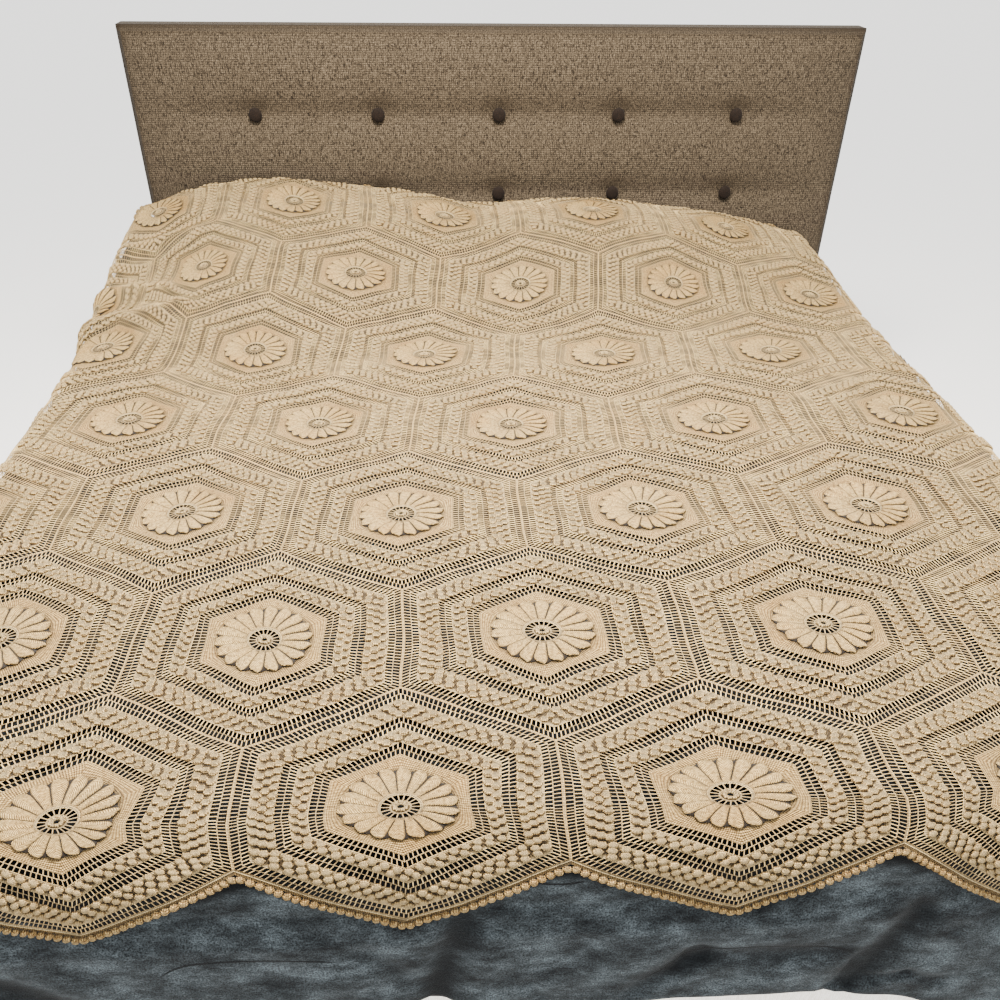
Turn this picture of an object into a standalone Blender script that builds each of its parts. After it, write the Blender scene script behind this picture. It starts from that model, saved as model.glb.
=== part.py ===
"""A crochet afghan of hexagon motifs, spread over a made bed with an upholstered headboard.

Metres, +Z up. X runs across the bed, Y from its foot to its head, and Z=0 is the floor.
The afghan and the blanket under it are closed solids with the shape in which they lie: flat on the
mattress, up over two pillows, and down over the sides and the foot.
"""

import math

import bmesh
import bpy
import numpy as np
from mathutils import Matrix, Vector

# Driving sizes of the afghan
MOTIF = 0.330  # flat side to flat side of one hexagon
ROW_STEP = MOTIF * math.sqrt(3) / 2
APOTHEM = MOTIF / 2
WIDE_ROW = (-6, -4, -2, 0, 2, 4, 6)  # motif places in half motifs from the bed's middle
NARROW_ROW = (-5, -3, -1, 1, 3, 5)
ROW_COUNT = 7  # the first row, at the foot, is a narrow one
SKEW = math.radians(-1.4)  # the afghan lies a little askew
HEM = 0.017  # the beaded rows outside the outer motifs
CLOTH = 0.0025
PETAL_RISE = 0.0042
PUFF_RISE = 0.004
SEAM_DIP = 0.0008
SIDE_STEPS = 3  # points along one side of a hexagon

# One motif, as parts of its apothem
PUFF_RING = 0.061
SPOKE_RING = 0.119
PETAL_RING = 0.355
PLAIN_HEXAGON = 0.437
OUTER_RIB = 0.72
PETALS = 18
SPOKE_GAPS = 6  # the gaps between spokes that are cut through, of the 18 that a real motif has
GAP_HALF_ANGLE = math.radians(10)

# The bed's form under the cloth
CLOTH_TOP = 0.615  # the afghan's underside where it lies flat, above the floor
SHOULDER_X = 0.760  # where the cloth starts to turn down
SHOULDER_FOOT = -0.001
SHOULDER_HEAD = 1.800
SIDE_ROUND = 0.048
FOOT_ROUND = 0.060
HEAD_ROUND = 0.022
DRAWN_UP_FROM = 0.0  # past this the foot hem is drawn up and in
DRAWN_UP = 0.689
DRAWN_IN = 0.080
SIDE_FOLD = 0.016
SIDE_FOLD_SPACING = 0.43
FOLD_DEPTH = 0.25
CORNER_FOLD = 0.5

# Pillow heights under the cloth: place across, height at the crest, where the rise starts, where it is full
PILLOW_SECTIONS = (
    (-0.80, 0.098, 1.16, 1.85),
    (-0.64, 0.148, 1.11, 1.85),
    (-0.48, 0.165, 1.09, 1.85),
    (-0.34, 0.152, 1.11, 1.84),
    (-0.18, 0.132, 1.16, 1.82),
    (-0.02, 0.103, 1.23, 1.78),
    (0.14, 0.110, 1.24, 1.74),
    (0.28, 0.110, 1.24, 1.74),
    (0.48, 0.089, 1.25, 1.76),
    (0.66, 0.061, 1.27, 1.78),
    (0.80, 0.024, 1.28, 1.80),
)
STRAIGHT_RAMP = 0.75  # the left pillow's slope is nearly straight

# Where a motif lies off the even lattice: place in half motifs, row, shift across, shift along
PULLS = (
    (-3, -0.6, -0.020, 0.000),
    (-1, -0.6, 0.000, 0.003),
    (1, -0.6, 0.019, 0.002),
    (-2, -0.4, -0.005, 0.025),
    (0, -0.4, -0.002, 0.024),
    (2, -0.4, 0.020, 0.035),
    (-3, 0, 0.013, -0.012),
    (-1, 0, 0.004, -0.013),
    (1, 0, -0.013, -0.014),
    (-4, 1, 0.010, 0.000),
    (2, 1, 0.018, 0.002),
    (-2, 1, -0.008, -0.010),
    (-1, 2, -0.018, -0.009),
    (-4, 3, 0.006, 0.017),
    (0, 3, -0.012, -0.010),
    (4, 3, 0.007, 0.026),
    (-5, 4, 0.040, 0.030),
    (-3, 4, 0.008, -0.006),
    (1, 4, 0.010, 0.000),
    (3, 4, 0.008, 0.010),
    (-6, 5, 0.140, -0.110),
    (-4, 5, 0.012, 0.017),
    (-2, 5, 0.012, 0.000),
    (0, 5, 0.024, 0.006),
    (2, 5, 0.026, 0.018),
    (4, 5, 0.000, 0.010),
    (-5, 6, 0.040, 0.005),
    (-3, 6, 0.024, -0.024),
    (-1, 6, 0.030, -0.015),
    (1, 6, 0.042, 0.004),
    (3, 6, 0.030, 0.000),
)
PULL_REACH = 0.15

# Gathers of loose cloth by the left head corner: two ends (x, y, x, y), half width, height
GATHERS = (
    (-0.84, 1.24, -0.62, 1.30, 0.026, 0.016),
    (-0.83, 1.40, -0.66, 1.37, 0.024, 0.013),
    (-0.82, 1.55, -0.62, 1.58, 0.030, 0.010),
)

# The other pieces
BLANKET = 0.004
BLANKET_GAP = 0.006
BLANKET_BEND_GAP = 0.016  # the extra room that it keeps at the bed's edges
BLANKET_BEND_FROM = 0.050  # how far inside an edge that room starts
BLANKET_FOOT_BEND = 0.035  # how much later at the foot, where the bend is wider
BLANKET_SIDE_REACH = 1.04  # from the middle line, along the cloth
BLANKET_HEAD = 1.740
BLANKET_CORNER_CUT = 0.42  # how much shorter it hangs at its rounded corners at the foot

# The blanket's uneven lower edge at the foot: place across, reach past the mattress's middle part
BLANKET_EDGE = (
    (-1.04, 0.285),
    (-0.61, 0.285),
    (-0.29, 0.304),
    (-0.11, 0.299),
    (0.02, 0.312),
    (0.18, 0.310),
    (0.34, 0.315),
    (0.41, 0.332),
    (0.49, 0.366),
    (0.55, 0.384),
    (0.72, 0.360),
    (1.04, 0.310),
)

# Its folds there: two ends (place across, depth, place across, depth), half width, how far drawn in
BLANKET_FOLDS = (
    (-0.105, 0.150, -0.136, 0.300, 0.020, 0.011),
    (0.088, 0.290, 0.150, 0.228, 0.018, 0.008),
    (0.150, 0.228, 0.315, 0.235, 0.018, 0.006),
    (0.385, 0.170, 0.340, 0.285, 0.022, 0.011),
    (-0.640, 0.200, -0.540, 0.270, 0.030, 0.010),
)
BLANKET_PUFF = 0.011  # how far it stands out between its folds
HEM_REACH = 0.135  # how far down the afghan's tips cover it

# The bed
BED_WIDTH = 1.524
MATTRESS_FOOT = -0.024
MATTRESS_HEAD = 1.832
MATTRESS_TOP = CLOTH_TOP - 0.014
MATTRESS_DEPTH = 0.262
FOUNDATION_DEPTH = 0.190
LEG_HEIGHT = MATTRESS_TOP - MATTRESS_DEPTH - FOUNDATION_DEPTH
TOUCH = 0.0003  # the gap between pieces that rest on each other
HEADBOARD_WIDTH = 1.654
HEADBOARD_X = 0.048
HEADBOARD_FACE = 1.8435
HEADBOARD_TOP = CLOTH_TOP + 0.451
HEADBOARD_BOTTOM = 0.300
HEADBOARD_DEPTH = 0.075
BUTTON_COLUMNS = 5
BUTTON_SPACING = HEADBOARD_WIDTH / (BUTTON_COLUMNS + 1)
BUTTON_ROWS = (HEADBOARD_TOP - 0.169, HEADBOARD_TOP - 0.335)
BUTTON_RADIUS = 0.015
TUFT_DEPTH = 0.014
TUFT_REACH = 0.045
CHANNEL_DEPTH = 0.006  # the shallow valley along each row of buttons
CHANNEL_REACH = 0.035


def remove_all():
    for thing in list(bpy.data.objects):
        bpy.data.objects.remove(thing, do_unlink=True)


def finish(name, colour, roughness, metallic=0.0):
    """A plain Principled material."""
    material = bpy.data.materials.new(name)
    material.use_nodes = True
    shader = material.node_tree.nodes["Principled BSDF"]
    shader.inputs["Base Color"].default_value = (*colour, 1.0)
    shader.inputs["Roughness"].default_value = roughness
    shader.inputs["Metallic"].default_value = metallic
    return material


def add_object(name, mesh, material, smooth_degrees=None):
    thing = bpy.data.objects.new(name, mesh)
    bpy.context.scene.collection.objects.link(thing)
    mesh.materials.append(material)
    if smooth_degrees is not None:
        mesh.shade_smooth()
        mesh.set_sharp_from_angle(angle=math.radians(smooth_degrees))
    return thing


def mesh_from(name, points, faces):
    mesh = bpy.data.meshes.new(name)
    mesh.from_pydata([tuple(map(float, p)) for p in points], [], faces)
    mesh.validate()
    mesh.update()
    return mesh


def along(sections, x, column):
    """One column of a table of sections, read at x on a smooth curve through its rows."""
    places = np.array([row[0] for row in sections])
    values = np.array([row[column] for row in sections])
    slopes = np.gradient(values, places)
    x = np.clip(x, places[0], places[-1])
    i = np.clip(np.searchsorted(places, x) - 1, 0, len(places) - 2)
    step = places[i + 1] - places[i]
    t = (x - places[i]) / step
    start = (2 * t**3 - 3 * t**2 + 1) * values[i] + (t**3 - 2 * t**2 + t) * step * slopes[i]
    end = (3 * t**2 - 2 * t**3) * values[i + 1] + (t**3 - t**2) * step * slopes[i + 1]
    return start + end


def pillow_rise(x, y):
    """How far the pillows lift the cloth at a place on the bed."""
    crest = along(PILLOW_SECTIONS, x, 1)
    start = along(PILLOW_SECTIONS, x, 2)
    full = along(PILLOW_SECTIONS, x, 3)
    s = np.clip((y - start) / (full - start), 0, 1)
    straight = np.clip(-x / 0.5, 0, 1) * STRAIGHT_RAMP
    return crest * (straight * s + (1 - straight) * s * s * (3 - 2 * s))


def gathered(x, y):
    """The height of the loose gathers at a place on the bed."""
    height = np.zeros_like(x)
    for x0, y0, x1, y1, half_width, rise in GATHERS:
        length = math.hypot(x1 - x0, y1 - y0)
        ux, uy = (x1 - x0) / length, (y1 - y0) / length
        t = np.clip((x - x0) * ux + (y - y0) * uy, 0, length)
        off = np.hypot(x - x0 - t * ux, y - y0 - t * uy)
        height = height + rise * np.exp(-((off / half_width) ** 2))
    return height


def pulled(u, v):
    """Where a point of the flat afghan would lie on the bed's developed surface."""
    x = u * math.cos(SKEW) - v * math.sin(SKEW)
    y = u * math.sin(SKEW) + v * math.cos(SKEW)
    for place, row, across, along_bed in PULLS:
        off = (u - place * APOTHEM) ** 2 + (v - row * ROW_STEP) ** 2
        weight = np.exp(-off / (2 * PULL_REACH**2))
        x = x + across * weight
        y = y + along_bed * weight
    past = np.clip(DRAWN_UP_FROM - y, 0, None)
    x = x * (1 - DRAWN_IN * np.clip(past / 0.1, 0, 1))
    return x, np.where(past > 0, DRAWN_UP_FROM - past * DRAWN_UP, y)


def hang(p, q, gathers=0.0):
    """Lays a point of the developed surface on the bed: flat on top, round its edges, and down."""
    inner_x = np.clip(p, -SHOULDER_X, SHOULDER_X)
    inner_y = np.clip(q, SHOULDER_FOOT, SHOULDER_HEAD)
    over_x, over_y = p - inner_x, q - inner_y
    over = np.hypot(over_x, over_y)
    safe = np.maximum(over, 1e-9)
    nx, ny = over_x / safe, over_y / safe
    end_round = np.where(over_y < 0, FOOT_ROUND, HEAD_ROUND)
    turn = np.where(over > 0, SIDE_ROUND * nx**2 + end_round * ny**2, SIDE_ROUND)
    bend = np.minimum(over, turn * math.pi / 2)
    rest = over - bend
    corner = CORNER_FOLD * rest * (2 * nx * ny) ** 2 * (over_y < 0)
    fold = 0.5 + 0.5 * np.cos(2 * math.pi * (inner_y / SIDE_FOLD_SPACING + 0.3 * nx))
    fold = SIDE_FOLD * fold * nx**2 * np.clip(rest / FOLD_DEPTH, 0, 1)
    out = turn * np.sin(bend / turn) + corner + fold
    drop = turn * (1 - np.cos(bend / turn)) + np.sqrt(rest**2 - corner**2)
    z = CLOTH_TOP + pillow_rise(inner_x, inner_y) + gathers * gathered(inner_x, inner_y) - drop
    return np.stack([inner_x + nx * out, inner_y + ny * out, z], axis=-1)


def lifted(surface, a, b, lift):
    """A surface's points, moved along its outward normal."""
    step = 0.002
    here = surface(a, b)
    across = surface(a + step, b) - surface(a - step, b)
    up = surface(a, b + step) - surface(a, b - step)
    normal = np.cross(across, up)
    normal /= np.maximum(np.linalg.norm(normal, axis=-1, keepdims=True), 1e-12)
    return here + normal * np.asarray(lift)[..., None]


def drape(u, v):
    return hang(*pulled(u, v), gathers=1.0)


def motif_places():
    """(place in half motifs, row) of every motif, row by row from the foot."""
    for row in range(ROW_COUNT):
        for place in NARROW_ROW if row % 2 == 0 else WIDE_ROW:
            yield place, row


def hexagon(apothem, steps):
    """Points on a hexagon whose corners point to the head and the foot, from its right lower corner."""
    corner = apothem / math.cos(math.pi / 6)
    corners = [Vector((corner, 0)) @ Matrix.Rotation(-math.radians(60 * k - 30), 2) for k in range(6)]
    points = []
    for k, start in enumerate(corners):
        end = corners[(k + 1) % 6]
        points += [start.lerp(end, s / steps) for s in range(steps)]
    return points


def circle(radius, angles):
    return [Vector((radius * math.cos(a), radius * math.sin(a))) for a in angles]


def spoke_angles():
    """The two edges of each cut gap in the ring of spokes."""
    for k in range(SPOKE_GAPS):
        middle = 2 * math.pi * k / SPOKE_GAPS
        yield middle - GAP_HALF_ANGLE
        yield middle + GAP_HALF_ANGLE


def turned(points):
    """Angles of a ring's points, rising from the first."""
    angles = [math.atan2(p.y, p.x) for p in points]
    return [angles[0] + (a - angles[0]) % (2 * math.pi) for a in angles]


def lace(inner, outer, inner_ids, outer_ids):
    """Triangles between two closed rings of points about the same centre."""
    a, b = turned(inner), turned(outer)
    shift = min(range(len(b)), key=lambda j: abs(math.remainder(b[j] - a[0], 2 * math.pi)))
    b = [a[0] + (b[(j + shift) % len(b)] - a[0]) % (2 * math.pi) for j in range(len(b))]
    if b[0] - a[0] > math.pi:
        b[0] -= 2 * math.pi
    outer_ids = outer_ids[shift:] + outer_ids[:shift]
    a, b = a + [a[0] + 2 * math.pi], b + [b[0] + 2 * math.pi]
    i = j = 0
    faces = []
    while i < len(inner) or j < len(outer):
        step_outer = i == len(inner) or (j < len(outer) and b[j + 1] <= a[i + 1])
        p, q = inner_ids[i % len(inner)], outer_ids[j % len(outer)]
        if step_outer:
            j += 1
            faces.append((p, q, outer_ids[j % len(outer)]))
        else:
            i += 1
            faces.append((p, q, inner_ids[i % len(inner)]))
    return faces


class Sheet:
    """Collects the two faces of the afghan, with one point wherever motifs share one."""

    def __init__(self):
        self.flat, self.lifts, self.faces, self.shared = [], [], [], {}

    def point(self, u, v, lift, layer=None):
        key = (layer, round(u * 5000), round(v * 5000))
        if layer is not None and key in self.shared:
            return self.shared[key]
        self.flat.append((u, v))
        self.lifts.append(lift)
        self.shared[key] = len(self.flat) - 1
        return self.shared[key]

    def ring(self, centre, points, lift, layer=None):
        return [self.point(centre.x + p.x, centre.y + p.y, lift, layer) for p in points]

    def add(self, faces, flip=False):
        self.faces += [tuple(reversed(f)) if flip else tuple(f) for f in faces]


def needs_more(place, row):
    """Motifs that bend over an edge take one more ring."""
    return row == 0 or abs(place) in (4, 5)


def is_flat(place, row):
    return 0 < row < 5 and abs(place) < 4


def add_motif(sheet, place, row):
    centre = Vector((place * APOTHEM, row * ROW_STEP))
    spokes = list(spoke_angles())
    petals = [2 * math.pi * (k + 0.5) / PETALS for k in range(PETALS)]
    puff, ring = circle(PUFF_RING * APOTHEM, spokes), circle(SPOKE_RING * APOTHEM, spokes)
    rim = circle(PETAL_RING * APOTHEM, petals)
    plain, rib = hexagon(PLAIN_HEXAGON * APOTHEM, 2), hexagon(OUTER_RIB * APOTHEM, 3)
    edge = hexagon(APOTHEM, SIDE_STEPS)

    top_puff, top_ring = sheet.ring(centre, puff, CLOTH + 0.001), sheet.ring(centre, ring, CLOTH)
    middle = sheet.point(centre.x, centre.y, CLOTH + PUFF_RISE)
    sheet.add([(middle, top_puff[i], top_puff[(i + 1) % len(puff)]) for i in range(len(puff))])
    low_puff, low_ring = sheet.ring(centre, puff, 0.0), sheet.ring(centre, ring, 0.0)
    sheet.add([low_puff], flip=True)
    for i in range(1, len(puff), 2):
        j = (i + 1) % len(puff)
        sheet.add([(top_puff[i], top_ring[i], top_ring[j], top_puff[j])])
        sheet.add([(low_puff[i], low_ring[i], low_ring[j], low_puff[j])], flip=True)
    for i in range(0, len(puff), 2):
        wall = [(top_puff, low_puff, i, i + 1), (low_ring, top_ring, i, i + 1)]
        for upper, lower, m, n in wall:
            sheet.add([(upper[m], upper[n], lower[n], lower[m])], flip=True)
        sheet.add([(top_puff[i], top_ring[i], low_ring[i], low_puff[i])])
        sheet.add([(top_puff[i + 1], top_ring[i + 1], low_ring[i + 1], low_puff[i + 1])], flip=True)

    top_rim = sheet.ring(centre, rim, CLOTH + PETAL_RISE)
    top_plain = sheet.ring(centre, plain, CLOTH)
    top_edge = sheet.ring(centre, edge, CLOTH - SEAM_DIP, "top")
    low_edge = sheet.ring(centre, edge, 0.0, "low")
    sheet.add(lace(ring, rim, top_ring, top_rim))
    sheet.add(lace(rim, plain, top_rim, top_plain))
    inner, inner_top = plain, top_plain
    if needs_more(place, row):
        top_rib = sheet.ring(centre, rib, CLOTH)
        sheet.add(lace(plain, rib, top_plain, top_rib))
        inner, inner_top = rib, top_rib
    sheet.add(lace(inner, edge, inner_top, top_edge))
    inner, inner_low = ring, low_ring
    if not is_flat(place, row):
        low_plain = sheet.ring(centre, plain, 0.0)
        sheet.add(lace(ring, plain, low_ring, low_plain), flip=True)
        inner, inner_low = plain, low_plain
    if needs_more(place, row):
        low_rib = sheet.ring(centre, rib, 0.0)
        sheet.add(lace(inner, rib, inner_low, low_rib), flip=True)
        inner, inner_low = rib, low_rib
    sheet.add(lace(inner, edge, inner_low, low_edge), flip=True)


def outer_edges(faces):
    """Directed edges that only one face has."""
    seen = {}
    for face in faces:
        for a, b in zip(face, face[1:] + face[:1]):
            seen[(a, b)] = seen.get((a, b), 0) + 1
    return [edge for edge in seen if (edge[1], edge[0]) not in seen]


def add_hem(sheet):
    """Moves the outline out by the hem, and joins the two faces there with a wall."""
    edges = outer_edges(sheet.faces)
    flat = [Vector(p) for p in sheet.flat]
    outward = {}
    for a, b in edges:
        along_edge = (flat[b] - flat[a]).normalized()
        top = sheet.lifts[a] > CLOTH / 2
        normal = Vector((along_edge.y, -along_edge.x)) * (1 if top else -1)
        for end in (a, b):
            outward.setdefault(end, []).append(normal)
    for point, normals in outward.items():
        mean = sum(normals, Vector((0, 0))) / len(normals)
        moved = flat[point] + mean * (HEM / mean.length_squared)
        sheet.flat[point] = tuple(moved)
    low_of = {}
    for (layer, *place), point in sheet.shared.items():
        if layer == "low":
            low_of[tuple(place)] = point
    partner = {}
    for (layer, *place), point in sheet.shared.items():
        if layer == "top":
            partner[point] = low_of[tuple(place)]
    for a, b in edges:
        if a in partner and b in partner:
            sheet.add([(b, a, partner[a], partner[b])])


def build_afghan(material):
    """One closed sheet: motifs with a raised flower, cut gaps between its spokes, and the zigzag hem."""
    sheet = Sheet()
    for place, row in motif_places():
        add_motif(sheet, place, row)
    add_hem(sheet)
    u, v = np.array(sheet.flat).T
    points = lifted(drape, u, v, np.array(sheet.lifts))
    return add_object("afghan", mesh_from("afghan", points, sheet.faces), material, 15)


def both_ways(values):
    return sorted({-v for v in values} | set(values))


def blanket_folds(p, depth):
    """How far the blanket's hanging part stands out, drawn in at its folds."""
    out = np.full_like(p, BLANKET_PUFF)
    for x0, y0, x1, y1, half_width, drawn in BLANKET_FOLDS:
        length = math.hypot(x1 - x0, y1 - y0)
        ux, uy = (x1 - x0) / length, (y1 - y0) / length
        t = np.clip((p - x0) * ux + (depth - y0) * uy, 0, length)
        off = np.hypot(p - x0 - t * ux, depth - y0 - t * uy)
        out = out - drawn * np.exp(-((off / half_width) ** 2))
    return np.maximum(out, 0.0) * np.clip((depth - HEM_REACH) / 0.04, 0, 1)


def rounded_corners(p, q):
    """Draws in the blanket's two corners at the foot, which are cut round."""
    past_x = np.clip(np.abs(p) - SHOULDER_X, 0, None)
    past_y = np.clip(SHOULDER_FOOT - q, 0, None)
    diagonal = 2 * past_x * past_y / np.maximum(past_x**2 + past_y**2, 1e-12)
    share = 1 - BLANKET_CORNER_CUT * diagonal**2
    across = np.where(past_x > 0, np.sign(p) * (SHOULDER_X + past_x * share), p)
    return across, np.where(past_y > 0, SHOULDER_FOOT - past_y * share, q)


def build_blanket(material):
    """The fleece blanket under the afghan: a closed sheet that follows the bed a little inside it."""
    bend = SHOULDER_X + SIDE_ROUND * math.pi / 2
    side = [SHOULDER_X - BLANKET_BEND_FROM, SHOULDER_X, SHOULDER_X + 0.025, SHOULDER_X + 0.05, bend, 0.93]
    at_folds = [-0.40, -0.16, -0.13, -0.10, -0.06, 0.10, 0.15, 0.26, 0.31, 0.345, 0.38, 0.42, 0.48]
    columns = sorted(both_ways([0.0, 0.2, 0.58] + side + [BLANKET_SIDE_REACH]) + at_folds)
    turn = FOOT_ROUND * math.pi / 2
    bends = [SHOULDER_FOOT - turn, SHOULDER_FOOT - turn * 0.66, SHOULDER_FOOT - turn * 0.33]
    top = [SHOULDER_FOOT, SHOULDER_FOOT + 0.02, 0.25, 0.5, 0.8, 1.04, 1.14, 1.21, 1.28, 1.38, 1.5, 1.62]
    shares = [1.0, 0.8, 0.6, 0.4, 0.2]
    p, rows = np.meshgrid(columns, shares + bends + top + [BLANKET_HEAD])
    q = rows.copy()
    for r, share in enumerate(shares):
        q[r] = bends[0] - share * (along(BLANKET_EDGE, p[r], 1) + bends[0])
    p, q = rounded_corners(p, q)
    past_foot = SHOULDER_FOOT - q - BLANKET_FOOT_BEND
    edge = np.maximum(np.maximum(np.abs(p) - SHOULDER_X, past_foot), q - SHOULDER_HEAD + 0.04)
    inset = BLANKET_GAP + BLANKET_BEND_GAP * np.clip((edge + BLANKET_BEND_FROM) / 0.07, 0, 1)
    inset = inset - blanket_folds(p, SHOULDER_FOOT - q)
    upper = lifted(hang, p, q, -inset).reshape(-1, 3)
    under = lifted(hang, p, q, -inset - BLANKET).reshape(-1, 3)
    deep, wide = p.shape
    count = p.size
    faces = []
    for r in range(deep - 1):
        for c in range(wide - 1):
            a = r * wide + c
            quad = (a, a + 1, a + wide + 1, a + wide)
            faces += [quad, tuple(count + k for k in reversed(quad))]
    for a, b in outer_edges([f for f in faces if max(f) < count]):
        faces.append((b, a, a + count, b + count))
    return add_object("blanket", mesh_from("blanket", np.concatenate([upper, under]), faces), material, 50)


def rounded_box(name, low, high, radius, segments, material):
    """A box with all its edges rounded."""
    mesh = bpy.data.meshes.new(name)
    bm = bmesh.new()
    bmesh.ops.create_cube(bm, size=1.0)
    low, high = Vector(low), Vector(high)
    bmesh.ops.scale(bm, vec=high - low, verts=bm.verts)
    bmesh.ops.translate(bm, vec=(low + high) / 2, verts=bm.verts)
    bmesh.ops.bevel(bm, geom=list(bm.edges), offset=radius, segments=segments, profile=0.5, affect="EDGES")
    bm.to_mesh(mesh)
    bm.free()
    return add_object(name, mesh, material, 35)


def build_pillow(name, low, high, material):
    """A crowned pillow under the cloth, flat where it lies on the mattress and thin at its rim."""
    rings, around = (0.4, 0.7, 0.88, 0.97), 24
    middle, half = (Vector(low) + Vector(high)) / 2, (Vector(high) - Vector(low)) / 2
    base = MATTRESS_TOP + TOUCH
    points = []

    def place(share, angle):
        c, s = math.cos(angle), math.sin(angle)
        corner = (abs(c) ** 4 + abs(s) ** 4) ** -0.25
        return middle.x + half.x * share * corner * c, middle.y + half.y * share * corner * s

    def thick(x, y):
        rise = float(pillow_rise(np.array([x]), np.array([y]))[0])
        return max(rise + CLOTH_TOP - base - 0.024, 0.006)

    def ring(share, upper):
        crown = math.sqrt(1 - share**4)
        ids = []
        for k in range(around):
            x, y = place(share, 2 * math.pi * k / around)
            level = 0.4 + 0.6 * crown if upper else 0.4 * (1 - crown)
            points.append((x, y, base + thick(x, y) * level))
            ids.append(len(points) - 1)
        return ids

    rows = [ring(share, True) for share in rings + (1.0,)]
    rows += [ring(share, False) for share in reversed(rings)]
    points.append((middle.x, middle.y, base + thick(middle.x, middle.y)))
    faces = [(len(points) - 1, rows[0][k], rows[0][(k + 1) % around]) for k in range(around)]
    for inner, outer in zip(rows, rows[1:]):
        for k in range(around):
            after = (k + 1) % around
            faces.append((inner[k], outer[k], outer[after], inner[after]))
    faces.append(tuple(reversed(rows[-1])))
    return add_object(name, mesh_from(name, points, faces), material, 60)


def tuft(x, z):
    """How far the headboard's face is drawn in at its buttons and along their rows."""
    depth = max(CHANNEL_DEPTH * math.exp(-(((z - row) / CHANNEL_REACH) ** 2)) for row in BUTTON_ROWS)
    for button_x in button_places():
        for button_z in BUTTON_ROWS:
            off = math.hypot(x - button_x, z - button_z)
            depth = max(depth, TUFT_DEPTH * math.exp(-((off / TUFT_REACH) ** 2)))
    return depth


def button_places():
    middle = (BUTTON_COLUMNS - 1) / 2
    return [HEADBOARD_X + (k - middle) * BUTTON_SPACING for k in range(BUTTON_COLUMNS)]


def build_headboard(material):
    """The padded panel: a face drawn in at the buttons, with rounded edges and a flat back."""
    rounding = 0.018
    half = HEADBOARD_WIDTH / 2
    columns = [HEADBOARD_X - half, HEADBOARD_X - half + rounding]
    for button_x in button_places():
        columns += [button_x - TUFT_REACH, button_x, button_x + TUFT_REACH]
    columns += [HEADBOARD_X + half - rounding, HEADBOARD_X + half]
    upper, lower = BUTTON_ROWS
    rows = [HEADBOARD_BOTTOM, HEADBOARD_BOTTOM + rounding, lower - TUFT_REACH, lower, lower + TUFT_REACH]
    rows += [upper - TUFT_REACH, upper, upper + TUFT_REACH, HEADBOARD_TOP - rounding, HEADBOARD_TOP]
    back = HEADBOARD_FACE + HEADBOARD_DEPTH
    points, faces = [], []
    for i, z in enumerate(rows):
        for j, x in enumerate(columns):
            rim = i in (0, len(rows) - 1) or j in (0, len(columns) - 1)
            points.append((x, HEADBOARD_FACE + (rounding if rim else tuft(x, z)), z))
    wide = len(columns)
    for i in range(len(rows) - 1):
        for j in range(wide - 1):
            a = i * wide + j
            faces.append((a, a + 1, a + wide + 1, a + wide))
    loop = outer_edges(faces)
    behind = {}
    for a, b in loop:
        for end in (a, b):
            if end not in behind:
                behind[end] = len(points)
                x, _, z = points[end]
                points.append((x, back, z))
    faces += [(b, a, behind[a], behind[b]) for a, b in loop]
    after = dict(loop)
    order = [loop[0][0]]
    while after[order[-1]] != order[0]:
        order.append(after[order[-1]])
    faces.append(tuple(behind[k] for k in reversed(order)))
    return add_object("headboard", mesh_from("headboard", points, faces), material, 40)


def build_button(name, x, z, material):
    """A covered button: a low dome on a short drum, sunk in its tuft."""
    around = 10
    profile = ((BUTTON_RADIUS, 0.0), (BUTTON_RADIUS, 0.006), (BUTTON_RADIUS * 0.7, 0.0105))
    seat = HEADBOARD_FACE + TUFT_DEPTH - 0.006
    points = []
    for radius, out in profile:
        for k in range(around):
            angle = 2 * math.pi * k / around
            points.append((x + radius * math.cos(angle), seat - out, z + radius * math.sin(angle)))
    points.append((x, seat - 0.012, z))
    faces = [tuple(reversed(range(around)))]
    for level in range(len(profile) - 1):
        for k in range(around):
            a, b = level * around + k, level * around + (k + 1) % around
            faces.append((a, b, b + around, a + around))
    top = (len(profile) - 1) * around
    faces += [(top + k, top + (k + 1) % around, len(points) - 1) for k in range(around)]
    return add_object(name, mesh_from(name, points, faces), material, 50)


def build_leg(name, x, y, material):
    """A square tapered wooden leg."""
    mesh = bpy.data.meshes.new(name)
    bm = bmesh.new()
    bmesh.ops.create_cube(bm, size=1.0)
    height = LEG_HEIGHT - TOUCH
    for vert in bm.verts:
        half = 0.030 if vert.co.z > 0 else 0.021
        x_side, y_side = math.copysign(half, vert.co.x), math.copysign(half, vert.co.y)
        vert.co = (x_side, y_side, (vert.co.z + 0.5) * height)
    upright = [e for e in bm.edges if abs(e.verts[0].co.z - e.verts[1].co.z) > 0.01]
    bmesh.ops.bevel(bm, geom=upright, offset=0.005, segments=1, affect="EDGES")
    bm.to_mesh(mesh)
    bm.free()
    leg = add_object(name, mesh, material)
    leg.location = (x, y, 0)
    return leg


def centre_on_floor(things):
    """Moves everything so that the origin is on the floor under the middle of the whole outline."""
    bpy.context.view_layer.update()
    corners = [t.matrix_world @ Vector(c) for t in things for c in t.bound_box]
    middle = [(min(c[i] for c in corners) + max(c[i] for c in corners)) / 2 for i in (0, 1)]
    for thing in things:
        thing.location.x -= middle[0]
        thing.location.y -= middle[1]


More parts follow.
